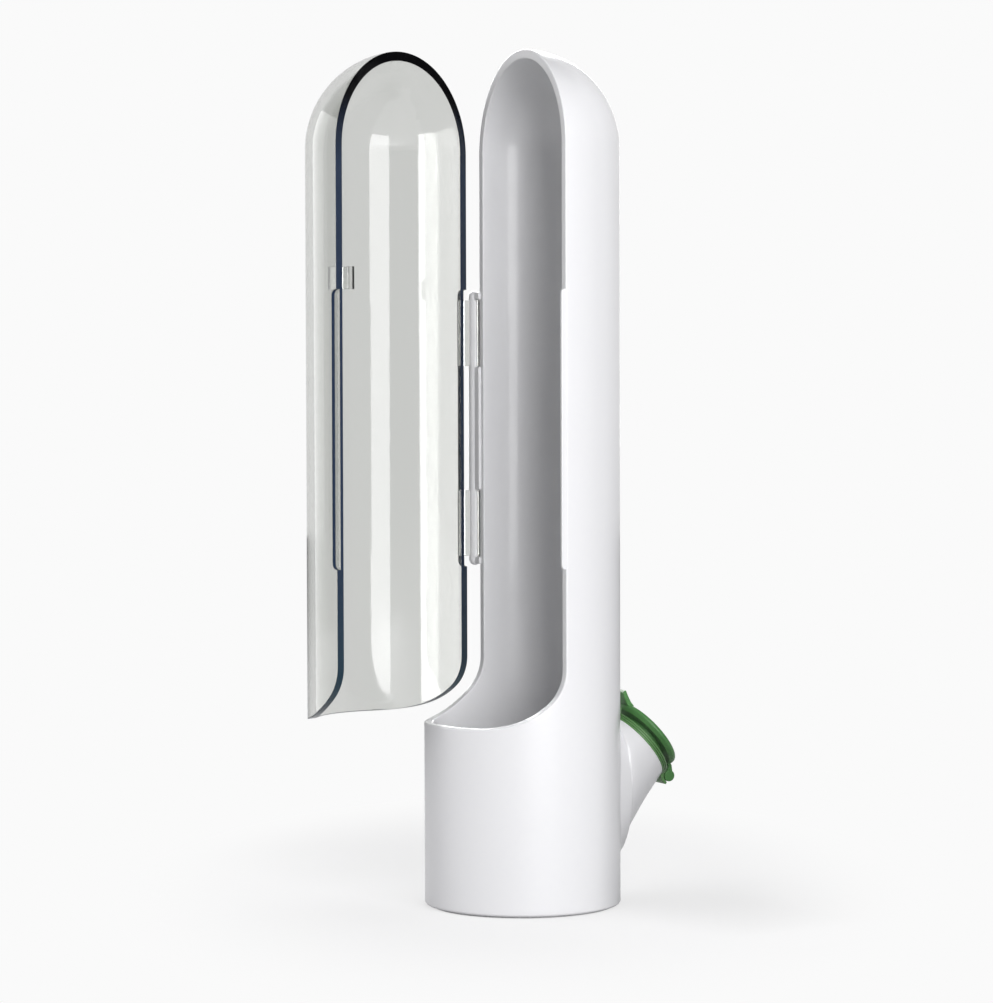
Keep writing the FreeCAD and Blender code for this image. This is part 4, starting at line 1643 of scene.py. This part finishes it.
@dataclass
class Studio:
    """Pale floor, pale surroundings and soft lamps."""

    door: bpy.types.Object
    pale: float = 0.956
    ambient: float = 0.18
    mirrored: float = 0.1
    tint: Colour = (0.975, 0.965, 1.0)
    floor_radius: float = 3.0
    floor_steps: int = 128
    floor_tint: Colour = (0.93, 0.93, 0.94)
    floor_mix: float = 0.7
    shade_size: Point = (0.09, 0.16)
    shade_shift: float = 0.045
    shade_ends: Point = (0.7, 1.5)
    bounce_kept_back: float = 0.7
    backdrop_radius: float = 2.9
    backdrop_height: float = 3.0
    backdrop_span: float = 150.0
    backdrop_steps: int = 48
    lamps: tuple[Softbox, ...] = (
        Softbox("key", 86, 16, 1.2, 0.75, 0.9, 16.2),
        Softbox("fill", -25, 12, 1.2, 0.9, 0.9, 7.0),
        Softbox("back", 253, 20, 1.2, 0.7, 0.9, 15.0, Lights.KEEPER),
        Softbox("left_strip", 28, 10, 0.5, 0.23, 0.45, 3.6, Lights.DOOR, True),
        Softbox("far_left_strip", 0, 10, 0.5, 0.277, 0.45, 1.8, Lights.DOOR, True),
        Softbox("right_strip", 97, 10, 0.5, 0.277, 0.45, 3.0, Lights.DOOR),
        Softbox("side_strip", -35, 10, 0.5, 0.466, 0.45, 1.6, Lights.DOOR),
        Softbox("above", 244, 68, 1.1, 0.9, 0.9, 5.0, Lights.FLOOR),
    )

    def world(self) -> None:
        """Surroundings that show white and light the keeper evenly."""
        world = bpy.data.worlds.new("studio")
        world.use_nodes = True
        bpy.context.scene.world = world
        nodes = Nodes(world.node_tree)
        levels = [nodes.tree.nodes["Background"]] + [nodes.add("ShaderNodeBackground") for _ in range(2)]
        looks = ((self.tint, self.ambient), ((1, 1, 1), self.pale), (self.tint, self.mirrored))
        for level, (colour, strength) in zip(levels, looks):
            level.inputs["Color"].default_value = (*colour, 1)
            level.inputs["Strength"].default_value = strength
        ambient, shown, mirrored = (level.outputs[0] for level in levels)
        straight = nodes.mix(nodes.rays("Is Camera Ray", "Is Transmission Ray"), ambient, shown)
        surface = nodes.mix(nodes.rays("Is Glossy Ray"), straight, mirrored)
        nodes.join(surface, nodes.tree.nodes["World Output"].inputs["Surface"])

    def backdrop(self) -> None:
        """The white sheet behind the keeper, which its edges mirror."""
        mesh = bmesh.new()
        span = radians(self.backdrop_span)
        begin = radians(VIEW_AZIMUTH) + pi / 2 - span / 2
        foot = mesh.verts.new((self.backdrop_radius * cos(begin), self.backdrop_radius * sin(begin), 0))
        made = bmesh.ops.extrude_vert_indiv(mesh, verts=[foot])
        bmesh.ops.translate(mesh, vec=(0, 0, self.backdrop_height), verts=made["verts"])
        bmesh.ops.spin(
            mesh, geom=mesh.verts[:] + mesh.edges[:], cent=(0, 0, 0), axis=(0, 0, 1),
            angle=span, steps=self.backdrop_steps,
        )
        item = object_of(mesh, "backdrop")
        nodes = Finish("backdrop")
        seen = nodes.rays("Is Camera Ray", "Is Transmission Ray", "Is Glossy Ray")
        strength = nodes.spread(seen, (self.ambient, self.pale), (0.0, 1.0))
        nodes.join(nodes.glow(strength), nodes.surface)
        item.data.materials.append(nodes.material)

    def floor(self) -> bpy.types.Object:
        """Make the floor: matt near the keeper, where it keeps the shadow, and plain white far off.

        Returns:
            The floor.
        """
        mesh = bmesh.new()
        bmesh.ops.create_circle(mesh, cap_ends=True, segments=self.floor_steps, radius=self.floor_radius)
        item = object_of(mesh, "floor")
        nodes = Finish("floor")
        shade = nodes.add("ShaderNodeMapping", vector_type="TEXTURE", Scale=(*self.shade_size, 1))
        shade.inputs["Location"].default_value = -self.shade_shift * direction(VIEW_AZIMUTH, 0)
        shade.inputs["Rotation"].default_value = (0, 0, radians(VIEW_AZIMUTH))
        nodes.join(nodes.place(), shade.inputs["Vector"])
        length = nodes.add("ShaderNodeVectorMath", operation="LENGTH")
        nodes.join(shade.outputs["Vector"], length.inputs[0])
        far = nodes.spread(length.outputs["Value"], (self.floor_mix, 1.0), self.shade_ends)
        far.node.interpolation_type = "SMOOTHSTEP"
        plain = nodes.math("MULTIPLY", far, nodes.rays("Is Camera Ray", "Is Transmission Ray"))
        mixed = nodes.mix(plain, nodes.shader.outputs[0], nodes.glow(self.pale))
        bounced = nodes.math("MULTIPLY", nodes.rays("Is Diffuse Ray"), self.bounce_kept_back)
        nodes.join(nodes.mix(bounced, mixed), nodes.surface)
        nodes.set(Base_Color=(*self.floor_tint, 1), Roughness=0.9, Specular_IOR_Level=0.1)
        item.data.materials.append(nodes.material)
        return item

    def build(self) -> None:
        """Make the surroundings, floor and lamps."""
        self.world()
        self.backdrop()
        floor = self.floor()
        for lamp in self.lamps:
            lamp.build(self.door, floor)
        ShadeCard().build()
        bpy.context.scene.view_settings.view_transform = "Standard"


# ---------------------------------------------------------------- all together

def dress_base_plate(material: bpy.types.Material) -> bpy.types.Object:
    """Give the base plate's CAD node its finish.

    Args:
        material: the finish.

    Returns:
        The plate.
    """
    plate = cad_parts["base_plate"]
    plate.data.materials.clear()
    plate.data.materials.append(material)
    return plate


def main() -> None:
    """Build the keeper, piece by piece, in its studio."""
    logging.basicConfig(level=logging.INFO, format="%(name)s %(message)s")
    Camera().build()
    seat = CapSeat()
    # one silicone in two tones: the collar's paler copy is painted light, the lid's darker copy is painted
    # shade
    lit_collar_green = GreenSilicone("green_collar_painted_light", (0.13, 0.28, 0.10), (0.09, 0.22, 0.07))
    shaded_lid_green = GreenSilicone("green_lid_painted_shade", (0.09, 0.245, 0.075), (0.06, 0.19, 0.05))
    base_white = WhitePlastic(
        "base_white", (0.8, 0.8, 0.81), (0.77, 0.77, 0.78), gloss=(0.35, 0.5), relief_strength=0.2,
    )
    shell = BodyShell(WhitePlastic().material()).build()
    door = DoorShell(ClearPlastic().material(), PaintedReflectionRim().material()).build()
    collar = CapCollar(lit_collar_green.material(), seat).build()
    lid = CapLid(shaded_lid_green.material(), seat).build()
    plate = dress_base_plate(base_white.material())
    for piece in (shell, door, collar, lid, plate):
        log.info("%s: %d faces, %s", piece.name, len(piece.data.polygons), piece.data.materials[0].name)
    Studio(door).build()


if __name__ == "__main__":
    main()
